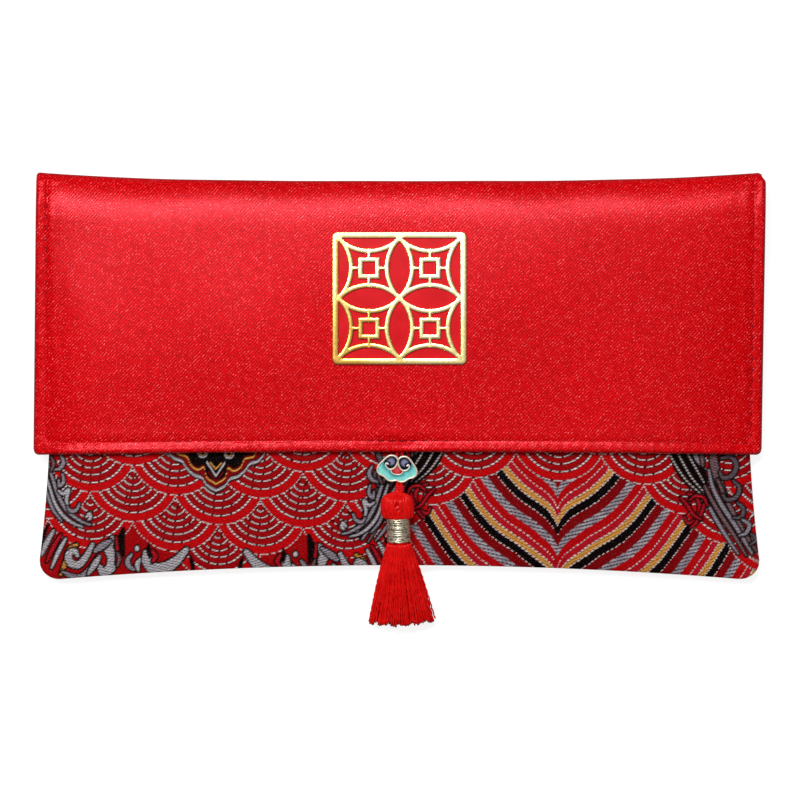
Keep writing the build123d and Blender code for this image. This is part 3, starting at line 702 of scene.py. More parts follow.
def paint_stripes(cloth, x, y, pick):
    share = frac(stripe_phase(x, y))
    side = np.sign(x - STRIPE_AXIS)
    start = 0.0
    for end, name in STRIPES:
        here = (share >= start) & (share < end)
        px, py, hand, row = x[here], y[here], side[here], pick[here]
        colour = np.broadcast_to(DYES[name], (len(px), 3)).copy()
        if name == "grey":
            slant = frac((py * 0.93 + hand * px * 0.22) / 3.1)
            colour[slant < 0.40] = DYES["iron"] * 0.5
            colour[(slant > 0.72) & (frac(px / 23.0 + 0.3 * np.sin(py / 5.0)) < 0.5)] = DYES["light"]
        elif name == "seam":
            colour[np.mod(row, 3) == 2] = DYES["shade"]
        elif name in ("crimson", "red", "dark"):
            colour[np.mod(row + np.floor(px / 1.6), 4) == 0] *= 0.62
        elif name == "gold":
            colour[frac((py * 0.9 + hand * px * 0.45) / 2.7) < 0.34] *= 0.45
        cloth[here] = colour
        start = end


def paint_scale_lines(cloth, x, y, pick, found, depth, offset):
    """White weft lines: long floats where a line runs level, single picks where it climbs."""
    level = np.abs(offset) < LEVEL_REACH
    coarse = pick >= FINE_PICKS
    half = np.where(coarse, np.where(level, 1.0, 0.55), np.where(level, 0.38, 0.62))
    for number, ring in enumerate(RINGS):
        # a dark band along each ring: partly the weave's dark outline, partly painted shadow beside the
        # raised white thread
        paint(cloth, np.clip((1.6 - np.abs(depth - ring)) / 0.7, 0, 1) * 0.85 * found, DYES["shade"])
        if number == 0:
            continue
        floats = frac((x + 4.3 * number + 5.3 * np.floor(y / 7.0)) / 9.3) < 0.76
        shown = np.where(level, floats, coarse | (np.mod(pick, 3) < 1.5))
        shown = shown & ((ring < RINGS[-1]) | (np.abs(offset) < 3.2))
        paint(cloth, line(depth - ring, half) * np.where(coarse, 0.6, 1.0) * shown * found, DYES["white"])


def paint_scales(cloth, x, y, pick, found, depth, offset):
    ground = np.where((depth < RINGS[1])[..., None], DYES["band"], DYES["scale"])
    ground = ground * np.where(np.mod(pick + np.floor(x / 1.9), 4) == 0, 0.72, 1.0)[..., None]
    cloth[found] = ground[found]
    paint_scale_lines(cloth, x, y, pick, found, depth, offset)
    broken = np.where(np.abs(offset) < LEVEL_REACH, frac(x / 11.3) < 0.72, np.mod(pick, 3) < 1.5)
    rim = line(depth - 0.3, 0.45) * found * broken
    paint(cloth, rim * np.where(pick < FINE_PICKS, 0.8, 0.0), DYES["white"])


def stroke_distance(px, py, path, width):
    """Distance from the edge of a stroke that swells between its ends."""
    distance = np.full(px.shape, FAR)
    count = len(path) - 1
    for i in range(count):
        a, run = path[i], path[i + 1] - path[i]
        t = np.clip(((px - a[0]) * run[0] + (py - a[1]) * run[1]) / max(run @ run, 1e-9), 0, 1)
        swell = 0.35 + 0.65 * np.sin(math.pi * np.clip((i + t) / count * 0.85 + 0.1, 0, 1))
        away = np.hypot(px - a[0] - t * run[0], py - a[1] - t * run[1])
        distance = np.minimum(distance, away - width / 2 * swell)
    return distance


def strokes_near(x, y, points, width, margin, axis):
    """For a stroke and its mirror image: the points near it, its hand, and their distance from its edge."""
    for hand in (1, -1):
        path = smooth_path(points)
        if hand < 0:
            path[:, 1] += TILT * 2 * (axis - path[:, 0])
            path[:, 0] = 2 * axis - path[:, 0]
        low, high = path.min(0) - margin, path.max(0) + margin
        here = np.nonzero((x > low[0]) & (x < high[0]) & (y > low[1]) & (y < high[1]))
        if len(here[0]):
            yield here, hand, stroke_distance(x[here], y[here], path, width)


def paint_strokes(cloth, x, y, pick, strokes, axis):
    """Each stroke and its mirror image, filled with ribbed thread inside a black outline."""
    for points, width, name in strokes:
        for here, hand, distance in strokes_near(x, y, points, width, width + 3, axis):
            part = cloth[here]
            paint(part, (0.5 if name == "black" else 2.3) - distance, DYES["black"])
            if name != "black":
                px, py, wide = x[here], y[here], width > 4.5
                ribs = np.mod(pick[here] + np.floor(px * 0.30 * hand) * wide, 3) < 1
                streak = frac(px * 0.37 + py * 0.21 + 0.5 * np.sin(px * 0.9))
                tone = np.where(ribs, 0.16 if wide else 0.55, 0.75 + 0.4 * streak)
                paint(part, 0.5 - distance, DYES[name] * tone[:, None])
            cloth[here] = part


def paint_lines(cloth, x, y, pick, lines, axis):
    """Thin dotted white lines and their mirror images."""
    for points in lines:
        for here, _, distance in strokes_near(x, y, points, 1.0, 3, axis):
            part = cloth[here]
            paint(part, (0.6 - distance) * (np.mod(pick[here], 3) < 1.5), DYES["seam"])
            cloth[here] = part


def paint_medallion(cloth, x, y, pick):
    px = CREST_AXIS - np.abs(x - CREST_AXIS)
    py = MEDALLION_Y + np.abs(y - TILT * (x - CREST_AXIS) - MEDALLION_Y)
    here = (px > 160) & (py < 500)
    px, py, row, part = px[here], py[here], pick[here], cloth[here]
    lively = np.where(np.mod(row + np.floor(px * 0.4), 3) < 1, 0.45, 1.0)[:, None]

    def under(outline):
        edge = smooth_path(outline)
        return np.interp(px, edge[:, 0], edge[:, 1], left=-1e3) - py

    outer, gold = under(MEDALLION), under(MEDALLION_LINE)
    paint(part, outer + 2.4, DYES["black"])
    paint(part, outer + 0.4, DYES["light"] * lively)
    paint(part, outer - 2.2, DYES["black"])
    paint(part, outer - 3.8, DYES["dark"])
    paint(part, line(gold, 1.7), DYES["black"])
    paint(part, line(gold, 0.8), DYES["gold"] * 1.2)
    paint(part, gold - 2.0, DYES["black"])
    away = np.abs(px - CREST_AXIS)
    for tip, slope, reach, half, name in MEDALLION_CHEVRONS:
        paint(part, line(py - tip + away * slope, half) * (away < reach), DYES[name])
    ex, ey = px - MEDALLION_EYE[0], py - MEDALLION_EYE[1]
    eye = np.hypot(ex, ey)
    coil = 2.2 + 4.4 * frac(np.arctan2(ey, ex) / (2 * math.pi) + 0.2)
    paint(part, line(eye - coil, 0.8) * (gold > 1), DYES["light"] * lively)
    paint(part, line(eye - coil + 2.0, 0.5) * (eye > 1.5) * (gold > 1), DYES["gold"])
    cloth[here] = part


def weave(x_mm, y_mm, pick):
    """Colours of the woven pattern at these places on the front. pick counts the weft threads."""
    x, y = ORIGIN_X + UNIT * x_mm, ORIGIN_Y - UNIT * y_mm
    cloth = np.zeros(x.shape + (3,))
    paint_stripes(cloth, x, y, pick)
    found, depth, offset = find_scales(x, y)
    cloth[~found & (x < CREST_AXIS + 172)] = DYES["red"] * 0.7
    paint_scales(cloth, x, y, pick, found, depth, offset)
    paint_strokes(cloth, x, y, pick, SPRAY_GROUNDS, STRIPE_AXIS)
    paint_lines(cloth, x, y, pick, SPRAY_LINES, STRIPE_AXIS)
    paint_strokes(cloth, x, y, pick, SPRAY_STROKES, STRIPE_AXIS)
    paint_strokes(cloth, x, y, pick, CREST_STROKES, CREST_AXIS)
    paint_medallion(cloth, x, y, pick)
    drop = np.hypot((np.abs(x - CREST_AXIS) - DROP_AWAY) / 0.8, y - TILT * (x - DROP_TILT_X) - DROP_Y)
    paint(cloth, 5.0 - drop, DYES["black"])
    paint(cloth, 3.0 - drop, DYES["light"])
    return np.clip(cloth, 0, 1)


# ---------------------------------------------------------------- pouch walls
FOLD_TUCK = 1.2  # the fold's two ends are tucked in by this much
WALL_TOP = 46.6  # here the back wall turns up into the fold
BACK_SHIFT = 0.6  # the upper end of the back lies this far to the right
BACK_CURVE, BACK_EDGE = 2.6, 92.0  # radius of the back's turn, and half the width of its thick part
WALL_COLUMNS, WALL_ROWS, FOLD_ROWS = 185, 90, 26


def lean(y):
    """The flap lies a little askew."""
    return -0.5 + 0.9 * np.clip((y - HEM_Y) / 68.6, 0, 1.05)


def pouch_grid(columns, rows, top):
    """Plan of a pouch wall: columns from -1 to 1, rows from 0 at the bottom seam to 1 at its upper edge."""
    s, t = np.meshgrid(columns, rows)
    x = s * 90.0
    for _ in range(8):
        low = bottom(x) + rounded(x, CORNER_HALF, CORNER_RADIUS)
        y = low + t * (top - low)
        x = s * pouch_half(y)
    return x, y, low


def marks(columns, rows):
    return rows, (columns + 1) / 2


def front_surface(x, y, low):
    """Outer face of the front, with puckers along its seams and a soft swell."""
    side, foot = pouch_half(y) - np.abs(x), y - low
    edge = near(side, foot)
    z = seam(y) + 0.05 + (front_z(x, y) - seam(y) - 0.05) * shoulder(edge, 3.0)
    along = np.where(side < foot, y, x)
    wrinkle = waves(along, along * 0.0, 5, 5, 4.0, 9.0)
    pucker = 0.13 * np.exp(-edge / 2.6) * wrinkle * np.clip(edge / 0.8, 0, 1)
    swell = 0.16 * waves(x, y, 3, 6, 28.0, 70.0) * np.clip(edge / 10, 0, 1)
    return z + pucker + swell


def build_front():
    columns = np.linspace(-1, 1, 641)
    rows = np.concatenate([np.linspace(0, FINE_SHARE, FINE_PICKS), np.linspace(FINE_SHARE, 1, 128)[1:]])
    x, y, low = pouch_grid(columns, rows, MOUTH_Y)
    colours = weave(x, y, np.broadcast_to(np.arange(len(rows))[:, None], x.shape))
    bright = colours @ (0.3, 0.5, 0.2)
    z = front_surface(x, y, low)
    z += 0.05 * np.clip(bright / 0.5, 0, 1) - 0.03 * (bright < 0.02)
    z -= 0.3 * (1 - shoulder(MOUTH_Y - y, 0.5))
    under_columns, under_rows = np.linspace(-1, 1, 105), np.linspace(0, 1, 49)
    ux, uy, ulow = pouch_grid(under_columns, under_rows, MOUTH_Y)
    uz = np.maximum(front_surface(ux, uy, ulow) - 0.6, seam(uy) + 0.02)
    ends = marks(columns, rows), marks(under_columns, under_rows)
    flat = (plan(x, y), plan(ux, uy))
    piece = closed_sheet("brocade_front", lift(x, y, z), lift(ux, uy, uz), *ends, BROCADE, flat)
    wrong_side = np.broadcast_to(DYES["shade"] * 1.6, (ux.size, 3))
    colour_points(piece, "Weave", np.vstack([colours.reshape(-1, 3), wrong_side]))
    place(piece, "pouch", "brocade", "front_panel")


def build_back():
    """Back wall of satin, with the lower half of the fold it turns up into."""
    columns, wall = np.linspace(-1, 1, WALL_COLUMNS), np.linspace(0, 1, WALL_ROWS)
    fold = np.linspace(0, 1, FOLD_ROWS)[1:]
    up = fold[:, None]
    x, y, low = pouch_grid(columns, wall, WALL_TOP)
    edge = near(pouch_half(y) - np.abs(x), y - low)
    rest = back_z(x, y)
    z = seam(y) - 0.05 + (rest - seam(y) + 0.05) * shoulder(edge, 3.4)
    z = np.maximum(z + 0.12 * waves(x, y, 8, 6, 18, 50) * np.clip(edge / 8, 0, 1) * np.clip(rest, 0, 1), 0.0)

    foot = z[-1]
    tuck = FOLD_TUCK * up * ramp(columns, 0.95, 1.0)
    fx = x[-1] + up * (FLAP_HALF - pouch_half(WALL_TOP)) * columns - tuck
    reach = fold_edge(fx) - WALL_TOP
    curve = np.minimum(reach, BACK_CURVE)
    turn = np.clip(up / 0.55, 0, 1) * math.pi / 2
    fy = WALL_TOP + (reach - curve) * np.clip(up / 0.3, 0, 1) + curve * np.sin(turn)
    fy = fy - 0.6 * up * (1 - shoulder(FLAP_HALF * (1 - np.abs(columns)), 1.15))
    rise = (SPINE_Z - foot - curve) * np.clip((up - 0.55) / 0.45, 0, 1)
    fz = foot + curve * (1 - np.cos(turn)) + rise

    shift, fold_shift = BACK_SHIFT * ramp(y, 20, 47), BACK_SHIFT + up * (lean(49.0) - BACK_SHIFT)
    px, py, pz = np.vstack([x + shift, fx + fold_shift]), np.vstack([y, fy]), np.vstack([z, fz])
    inward = np.vstack([np.zeros_like(y), np.broadcast_to(turn, fy.shape)])
    thick = 0.25 + 0.75 * np.clip(np.vstack([edge, BACK_EDGE - np.abs(fx)]) / 3.4, 0, 1)
    inner = lift(px, py - thick * np.sin(inward), pz + thick * np.cos(inward))
    inner[:WALL_ROWS, :, 2] = np.minimum(inner[:WALL_ROWS, :, 2], np.maximum(seam(y) - 0.02, z + 0.02))
    cloth = np.vstack([plan(x, y), plan(fx, WALL_TOP + 9.0 * up + 0 * fx)])
    ends = marks(columns, np.concatenate([wall * 0.9, 0.9 + fold * 0.1]))
    piece = closed_sheet("satin_back", inner, lift(px, py, pz), ends, ends, SATIN, (cloth, cloth))
    place(piece, None, "satin", "back_panel")
    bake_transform(piece)


# ---------------------------------------------------------------- flap
FOLD_ROUND = 2.0  # radius of the flap's turn at the fold
END_FINE, END_REACH, END_COARSE = 0.24, 5.4, 0.55  # spacing of the points near a hem, and beyond that reach


def hem(x):
    return HEM_Y - 0.8 * (x / FLAP_HALF) ** 2


def bump_at(distance, middle, width):
    """A soft ridge of unit height."""
    return np.exp(-(((distance - middle) / width) ** 2))


def flap_grid(columns, rows):
    """Middle of the flap's cloth, from the hem over the fold to the middle of the spine, and its roll."""
    s, t = np.meshgrid(columns, rows)
    x = s * FLAP_HALF - FOLD_TUCK * ramp(t, 0.985, 1.75) * ramp(s, 0.95, 1.0)
    low = hem(x) + rounded(x, FLAP_HALF, 1.5)
    high = fold_edge(x) - 1.9
    tilt = np.arctan((flap_z(x, high - 0.1) - flap_z(x, high + 0.1)) / 0.2)
    turn_y = fold_edge(x) - 0.6 - FOLD_ROUND * (1 - np.sin(tilt))
    y = low + np.clip(t, 0, 1) * (turn_y - low)
    z = flap_z(x, y) + FLAP_MIDDLE
    roll = tilt * ramp(t, 0.85, 1.0) + (math.pi / 2 - tilt) * np.clip(t - 1, 0, 1)
    over = t > 1
    y = y + np.where(over, FOLD_ROUND * (np.sin(roll) - np.sin(tilt)), 0)
    z = z - np.where(over, FOLD_ROUND * (np.cos(tilt) - np.cos(roll)), 0)
    z = z - np.clip(t - 2, 0, 1) * (z - SPINE_Z)
    side = FLAP_HALF * (1 - np.abs(s))
    edge = near(side, np.maximum(y - low, 1e-4))
    along = np.where(side < y - low, y, x)
    return x, y, z, roll, edge, along, t


def flap_offsets(x, y, edge, along, t):
    """How far the outer and inner faces lie from the middle of the cloth."""
    spine = np.clip(t - 1, 0, 1)
    outer = FLAP_MIDDLE - 0.35 * spine
    puff = 0.42 * np.clip((STITCH_INSET - edge) / 2.2, 0, 1)
    beat = np.cos(along * 2 * math.pi / STITCH_PITCH)
    depth = np.where(np.abs(x) > FLAP_HALF - 4.5, 0.26, 0.16)
    groove = depth * bump_at(edge, STITCH_INSET, 0.42) * (0.72 + 0.28 * beat)
    pucker = 0.06 * beat * bump_at(edge, STITCH_INSET, 1.3)
    pucker += 0.07 * waves(along, along * 0.0, 11, 5, 5.0, 13.0) * bump_at(edge, 1.6, 1.4)
    bank = 0.12 * bump_at(edge, 4.8, 1.3)
    swell = 0.17 * waves(x, y, 21, 7, 22.0, 64.0) * np.clip(edge / 9, 0, 1)
    relief = (puff - groove + pucker + bank) * (1 - spine) + swell * (1 - 0.7 * spine)
    drawn = 0.56 * bump_at(x, 0.0, 7.0) * (1 - ramp(y - HEM_Y, 1.5, 5.0))
    top = (outer - drawn) * shoulder(edge, 1.15) + relief * np.clip(edge / 0.5, 0, 1)
    hem_share = (1 - ramp(edge, 3.9, 4.6)) * (1 - ramp(t, 0.88, 1.0))
    low = -(FLAP_MIDDLE * hem_share - 0.35 * (1 - hem_share)) * (1 - spine) - 0.35 * spine
    return top, np.where(low < 0, low * shoulder(edge, 0.8), low)


def flap_face(columns, rows, face):
    """One face of the flap, and its plan with the fold laid flat. face is 0 for the outer one."""
    x, y, z, roll, edge, along, t = flap_grid(columns, rows)
    out = flap_offsets(x, y, edge, along, t)[face]
    points = lift(x + lean(y), y + out * np.sin(roll), z + out * np.cos(roll))
    return points, plan(x, y + np.where(t > 1, (t - 1) * 2.6, 0))


def build_flap():
    near_end = np.arange(0, END_REACH, END_FINE)
    inner_half = FLAP_HALF - END_REACH
    middle = np.linspace(-inner_half, inner_half, int(2 * inner_half / END_COARSE) + 1)
    columns = np.concatenate([near_end - FLAP_HALF, middle, FLAP_HALF - near_end[::-1]]) / FLAP_HALF
    rise = np.concatenate([near_end, np.linspace(END_REACH, 66.0, 102)]) / 66.0
    rows = np.concatenate([rise, 1 + np.linspace(0, 1, 13)[1:], 2 + np.linspace(0, 1, 8)[1:]])
    n = len(near_end)
    low_columns = np.concatenate([columns[:n:3], columns[n:-n:4], columns[-n::3]])
    low_columns[-1] = columns[-1]
    low_rise = np.concatenate([rise[:n:3], rise[n::4]])
    low_rows = np.concatenate([low_rise, 1 + np.linspace(0, 1, 7)[1:], 2 + np.linspace(0, 1, 4)[1:]])
    outer, cloth = flap_face(columns, rows, 0)
    inner, low_cloth = flap_face(low_columns, low_rows, 1)
    ends = marks(columns, rows / 3), marks(low_columns, low_rows / 3)
    piece = closed_sheet("satin_flap", outer, inner, *ends, SATIN, (cloth, low_cloth))
    place(piece, None, "satin", "flap_cover", "fold_cover")
    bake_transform(piece)


# ---------------------------------------------------------------- padding and lining
LAYER_COLUMNS, LINING_THICK = 130, 0.26
FOLD_LINING_HALF, FOLD_LINING_LOW, FOLD_LINING_HIGH = 88, 3.85, 8.95


def flat_sheet(name, x, y, z, thick, material):
    """A thin sheet over a plan, with soft edges."""
    rows, cols = x.shape
    columns, lines = np.linspace(-1, 1, cols), np.linspace(0, 1, rows)
    u, v = np.meshgrid(columns, lines)
    edge = near((1 - np.abs(u)) * np.ptp(x) / 2, v * np.ptp(y), (1 - v) * np.ptp(y))
    puff = thick / 2 * (0.25 + 0.75 * shoulder(edge, thick * 2.5))
    ends = marks(columns, lines)
    top, under = lift(x, y, z + puff), lift(x, y, z - puff)
    return closed_sheet(name, top, under, ends, ends, material, (plan(x, y), plan(x, y)))


def layer(name, height, edges, rows, rise, seed, ripple, thick, material):
    """A rippled sheet at a rise from a wall. edges are its half width, lower edge and upper edge."""
    half, low, high = edges
    s, t = np.meshgrid(np.linspace(-1, 1, LAYER_COLUMNS), np.linspace(0, 1, rows))
    x = s * half
    y = low(x) + t * (high - low(x))
    z = height(x, y) + rise + ripple * waves(x, y, seed, 5, 6.0, 16.0)
    return flat_sheet(name, x, y, z, thick, material)


def build_layers():
    """Wadding and lining of the two walls and the flap, and the lining of the fold."""

    def foot(inset):
        return lambda x: bottom(x) + inset + rounded(x, CORNER_HALF - inset, CORNER_RADIUS)

    def level(y):
        return lambda x: y + 0 * x

    # wall, body, height, rows, upper edge, and flat size of the lining
    walls = (
        ("front", "pouch", front_z, 80, 42.4, (0.158, 0.083)),
        ("back", "pouch", back_z, 80, 47.0, (0.158, 0.088)),
        ("flap", "flap", flap_z, 70, 46.9, (0.177, 0.063)),
    )
    # half width, lower edge and rise; then the thickness of a pad, or the ripple of a lining
    pads = (
        (77.4, foot(11.0), -1.12, 0.72),
        (77.4, foot(11.0), 1.52, 0.70),
        (88.1, level(-15.0), 0.80, 0.70),
    )
    linings = (
        (78.4, foot(10.0), -1.76, 0.03),
        (78.4, foot(10.0), 2.18, 0.03),
        (88.0, level(-14.9), 0.16, 0.012),
    )
    seed = 31
    for (wall, body, height, rows, high, flat), pad_sizes, lining_sizes in zip(walls, pads, linings):
        pad_name, half, low, rise, thick = wall + "_wadding_pad", *pad_sizes
        pad = layer(pad_name, height, (half, low, high), rows, rise, seed, 0.03, thick, WADDING)
        place(pad, body, "wadding", wall + "_wadding")
        name, half, low, rise, ripple = wall + "_lining_cloth", *lining_sizes
        cloth = layer(name, height, (half, low, high), rows, rise, seed + 1, ripple, LINING_THICK, LINING)
        place(cloth, body, "lining", wall + "_lining")
        seed += 2

    columns, rows = np.linspace(-1, 1, 90), np.linspace(0, 1, 8)
    across = np.linspace(-FOLD_LINING_HALF, FOLD_LINING_HALF, len(columns))
    x, z = np.meshgrid(across, np.linspace(FOLD_LINING_LOW, FOLD_LINING_HIGH, len(rows)))
    depth = fold_edge(x) - 1.38 + 0.04 * waves(x, z, 37, 4, 6.0, 14.0)
    faces = (lift(x, depth - LINING_THICK / 2, z), lift(x, depth + LINING_THICK / 2, z))
    ends = marks(columns, rows)
    cloth = closed_sheet("fold_lining_cloth", *faces, ends, ends, LINING, (plan(x, z), plan(x, z)))
    place(cloth, "fold", "lining", "fold_lining")


# ---------------------------------------------------------------- sewing
STITCH_HALF, STITCH_RADIUS, STITCH_POINTS = 1.05, 0.21, 9
MOUTH_ROW_Y, MOUTH_ROW_HALF, MOUTH_STITCH_HALF = 41.1, 79.9, 1.0
STUD_Y, STUD_RADIUS, SEW_CIRCLE, SEW_REACH = -9.0, 4.6, 3.05, 1.95


def stitch_path(start, end, height, sink):
    """One stitch: it comes up through the cloth, lies on it and goes down again."""
    share = np.linspace(0, 1, STITCH_POINTS)
    x = start[0] + (end[0] - start[0]) * share
    y = start[1] + (end[1] - start[1]) * share
    arch = np.sin(math.pi * share) ** 0.55
    return lift(x, y, height(x, y) - sink * (1 - arch))


def spread(start, end):
    """Middles of the stitches of a row."""
    count = int((end - start) / STITCH_PITCH)
    return [start + (end - start) * (k + 0.5) / count for k in range(count)]


def build_stitches():
    def groove_floor(x, y):
        return flap_z(x, y) + FLAP_THICK - 0.24

    def mouth_face(x, y):
        return front_surface(x, y, y - 60) + 0.08

    radii = STITCH_RADIUS * (0.72 + 0.28 * np.sin(math.pi * np.linspace(0, 1, STITCH_POINTS)))
    side, half = FLAP_HALF - STITCH_INSET, STITCH_HALF
    rows = Parts()
    for x in spread(-side, side):
        y = hem(x) + STITCH_INSET
        x = x + lean(np.float64(y))
        rows.tube(stitch_path((x - half, y), (x + half, y + 0.05), groove_floor, 0.5), radii, 8)
    for y in spread(HEM_Y + STITCH_INSET, 47.1):
        for x in (-side + lean(np.float64(y)), side + lean(np.float64(y))):
            rows.tube(stitch_path((x, y - half), (x + 0.05, y + half), groove_floor, 0.5), radii, 8)
    place(rows.build("flap_stitches", THREAD), "flap", "thread", "flap_topstitch")
    rows, half, y = Parts(), MOUTH_STITCH_HALF, MOUTH_ROW_Y
    for x in spread(-MOUTH_ROW_HALF, MOUTH_ROW_HALF):
        rows.tube(stitch_path((x - half, y), (x + half, y), mouth_face, 0.4), radii, 8)
    place(rows.build("mouth_stitches", THREAD), "pouch", "thread", "mouth_topstitch")


def build_stud_threads():
    """Three strands through each hole of the two stud plates and over its rim."""
    base_z = float(front_z(0.0, STUD_Y))
    slope = (front_z(0.0, STUD_Y + STUD_RADIUS) - front_z(0.0, STUD_Y - STUD_RADIUS)) / (2 * STUD_RADIUS)
    share = np.linspace(0, 1, STITCH_POINTS)
    out = SEW_CIRCLE + SEW_REACH * share
    for name, body, node, level, hand in (
        ("socket_threads", "pouch", "snap_socket_thread", 0.35, 1),
        ("ball_threads", "flap", "snap_ball_thread", 0.75, -1),
    ):
        strands = Parts()
        over = level + hand * (0.07 - 0.16 * np.abs(2 * share - 1) ** 4)
        for turn in np.arange(4) * math.pi / 2:
            for k in (-1, 0, 1):
                across = 0.17 * k * (1 + 0.5 * share)
                x = out * math.cos(turn) - across * math.sin(turn)
                y = STUD_Y + out * math.sin(turn) + across * math.cos(turn)
                strands.tube(lift(x, y, base_z + slope * (y - STUD_Y) + over), 0.075, 6)
        place(strands.build(name, THREAD), body, "thread", node)


# ---------------------------------------------------------------- emblem
EMBLEM_Y, EMBLEM_W, EMBLEM_H, FRAME_BAR = 19.6, 33.8, 33.4, 1.5
INNER_W, INNER_H = EMBLEM_W - 2 * FRAME_BAR, EMBLEM_H - 2 * FRAME_BAR
METAL_Z = 2.21
RING_POINTS, RING_HALF, BRIDGE_HALF = 240, 0.575, 0.4
# middles of the coin rings and of their square eyes, as shares of the opening
RING_SHARES, EYE_SHARES = (-0.75, -0.25, 0.25, 0.75), (-0.25, 0.25)
# cross-section of a stroke: place across it from -1 to 1, and height
PROFILE = (
    (-1, 0.0), (-1, 0.54), (-0.96, 0.62), (-0.86, 0.66), (0, 0.69), (0.86, 0.66), (0.96, 0.62), (1, 0.54),
    (1, 0.0),
)


def over_flap(points, height):
    x, y = points[:, 0], points[:, 1] + EMBLEM_Y
    return lift(x, y, flap_z(x, y) + METAL_Z + height)


def stroke_shell(left, right, closed):
    """A raised stroke between two lines of equal count, over the flap."""
    middle, half = (left + right) / 2, (right - left) / 2
    rings = [over_flap(middle + half * across, height) for across, height in PROFILE]
    verts = np.stack(rings, 1).reshape(-1, 3)
    # the profile runs the other way round, so every face is turned over
    faces = ring_faces(len(left), len(PROFILE), closed)
    return verts.tolist(), [(f[0], *f[:0:-1]) if len(f) == 4 else f[::-1] for f in faces]


def ribbon(path, half):
    """The two sides of an open stroke along a path."""
    run = unit(np.gradient(path, axis=0))
    across = plan(-run[:, 1], run[:, 0]) * half
    return path + across, path - across


def rounded_box(width, height, radius, per_side):
    """Points round a box with rounded corners, counter-clockwise."""
    arcs, points = [], []
    for quarter, (sx, sy) in enumerate(((1, -1), (1, 1), (-1, 1), (-1, -1))):
        cx, cy = sx * (width / 2 - radius), sy * (height / 2 - radius)
        arcs.append([])
        for k in range(7):
            turn = (quarter - 1 + k / 6) * math.pi / 2
            arcs[-1].append(np.array((cx + radius * math.cos(turn), cy + radius * math.sin(turn))))
    for arc, following in zip(arcs, arcs[1:] + arcs[:1]):
        points += arc + [arc[-1] + (following[0] - arc[-1]) * k / per_side for k in range(1, per_side)]
    return np.array(points)


def ring_arcs(middle, radius):
    """The runs of a circle that lie inside the frame, each end just under the frame's bar."""
    turn = np.linspace(0, 2 * math.pi, RING_POINTS + 1)[:-1]
    points = middle + radius * plan(np.cos(turn), np.sin(turn))
    inside = (np.abs(points) < (INNER_W / 2 + 0.5, INNER_H / 2 + 0.5)).all(1)
    runs, run = [], []
    start = int(np.nonzero(~inside)[0][0])
    for k in range(start, start + RING_POINTS + 1):
        if inside[k % RING_POINTS]:
            run.append(points[k % RING_POINTS])
        elif run:
            runs.append(np.array(run))
            run = []
    return [r for r in runs if len(r) > 3]


def joined_mesh(piece):
    """The piece's overlapping shells made into one skin."""
    union = piece.modifiers.new("join", "BOOLEAN")
    blank = bpy.data.objects.new("blank", bpy.data.meshes.new("blank"))
    bpy.context.scene.collection.objects.link(blank)
    union.operation, union.solver, union.use_self, union.object = "UNION", "EXACT", True, blank
    joined = bpy.data.meshes.new_from_object(piece.evaluated_get(bpy.context.evaluated_depsgraph_get()))
    piece.modifiers.clear()
    bpy.data.objects.remove(blank)
    return joined


def build_emblem():
    """Square frame round a lattice of coin rings with square eyes."""
    lattice = Parts()
    frame_lines = rounded_box(EMBLEM_W, EMBLEM_H, 1.3, 24), rounded_box(INNER_W, INNER_H, 0.12, 24)
    lattice.add(*stroke_shell(*frame_lines, True))
    radius = INNER_W / 4 * math.sqrt(2)
    for i in RING_SHARES:
        for j in RING_SHARES:
            for arc in ring_arcs(np.array((i * INNER_W, j * INNER_H)), radius):
                lattice.add(*stroke_shell(*ribbon(arc, RING_HALF), False))
    reach = np.linspace(2.2, INNER_W / 2 - radius + 0.2, 6)[:, None]
    for i in EYE_SHARES:
        for j in EYE_SHARES:
            middle = np.array((i * INNER_W, j * INNER_H))
            eye = rounded_box(5.4, 5.4, 0.25, 6) + middle, rounded_box(3.1, 3.1, 0.1, 6) + middle
            lattice.add(*stroke_shell(*eye, True))
            for turn in np.arange(4) * math.pi / 2:
                way = np.array((math.cos(turn), math.sin(turn)))
                lattice.add(*stroke_shell(*ribbon(middle + way * reach, BRIDGE_HALF), False))
    piece = lattice.build("gold_lattice", GOLD)
    piece.data = joined_mesh(piece)
    piece.data.polygons.foreach_set("use_smooth", [True] * len(piece.data.polygons))
    piece.data.set_sharp_from_angle(angle=math.radians(50))
    place(piece, "flap", "gold", "emblem_lattice")


# ---------------------------------------------------------------- pendant
SLOPE = math.radians(13.02)
PENDANT = np.array((0.0, -19.87, 12.2557))
ACROSS, ALONG = np.array((1.0, 0.0, 0.0)), np.array((0.0, math.cos(SLOPE), math.sin(SLOPE)))
NORMAL = np.array((0.0, -math.sin(SLOPE), math.cos(SLOPE)))
CHARM_DOWN, CHARM_TURN, CHARM_SHIFT = 3.62, math.radians(-5.5), -0.60
CHARM_LOW, CHARM_HIGH, CHARM_SIZE, CHARM_MIDDLE = 0.66, 1.42, 0.955, (0.0, 0.2)
WIRE, RIM_WIRE, HEART_WIRE = 0.23, 0.25, 0.15
SCROLL_END, BEAD_RADIUS = (2.42, 1.32), 0.27
# the post behind the charm: heights and radii
POST_Z = np.array((CHARM_LOW + 0.1, 0.2, -0.1, -0.36, -0.37, -0.48))
POST_RADII = np.array((0.35, 0.35, 0.35, 0.35, 0.68, 0.64))
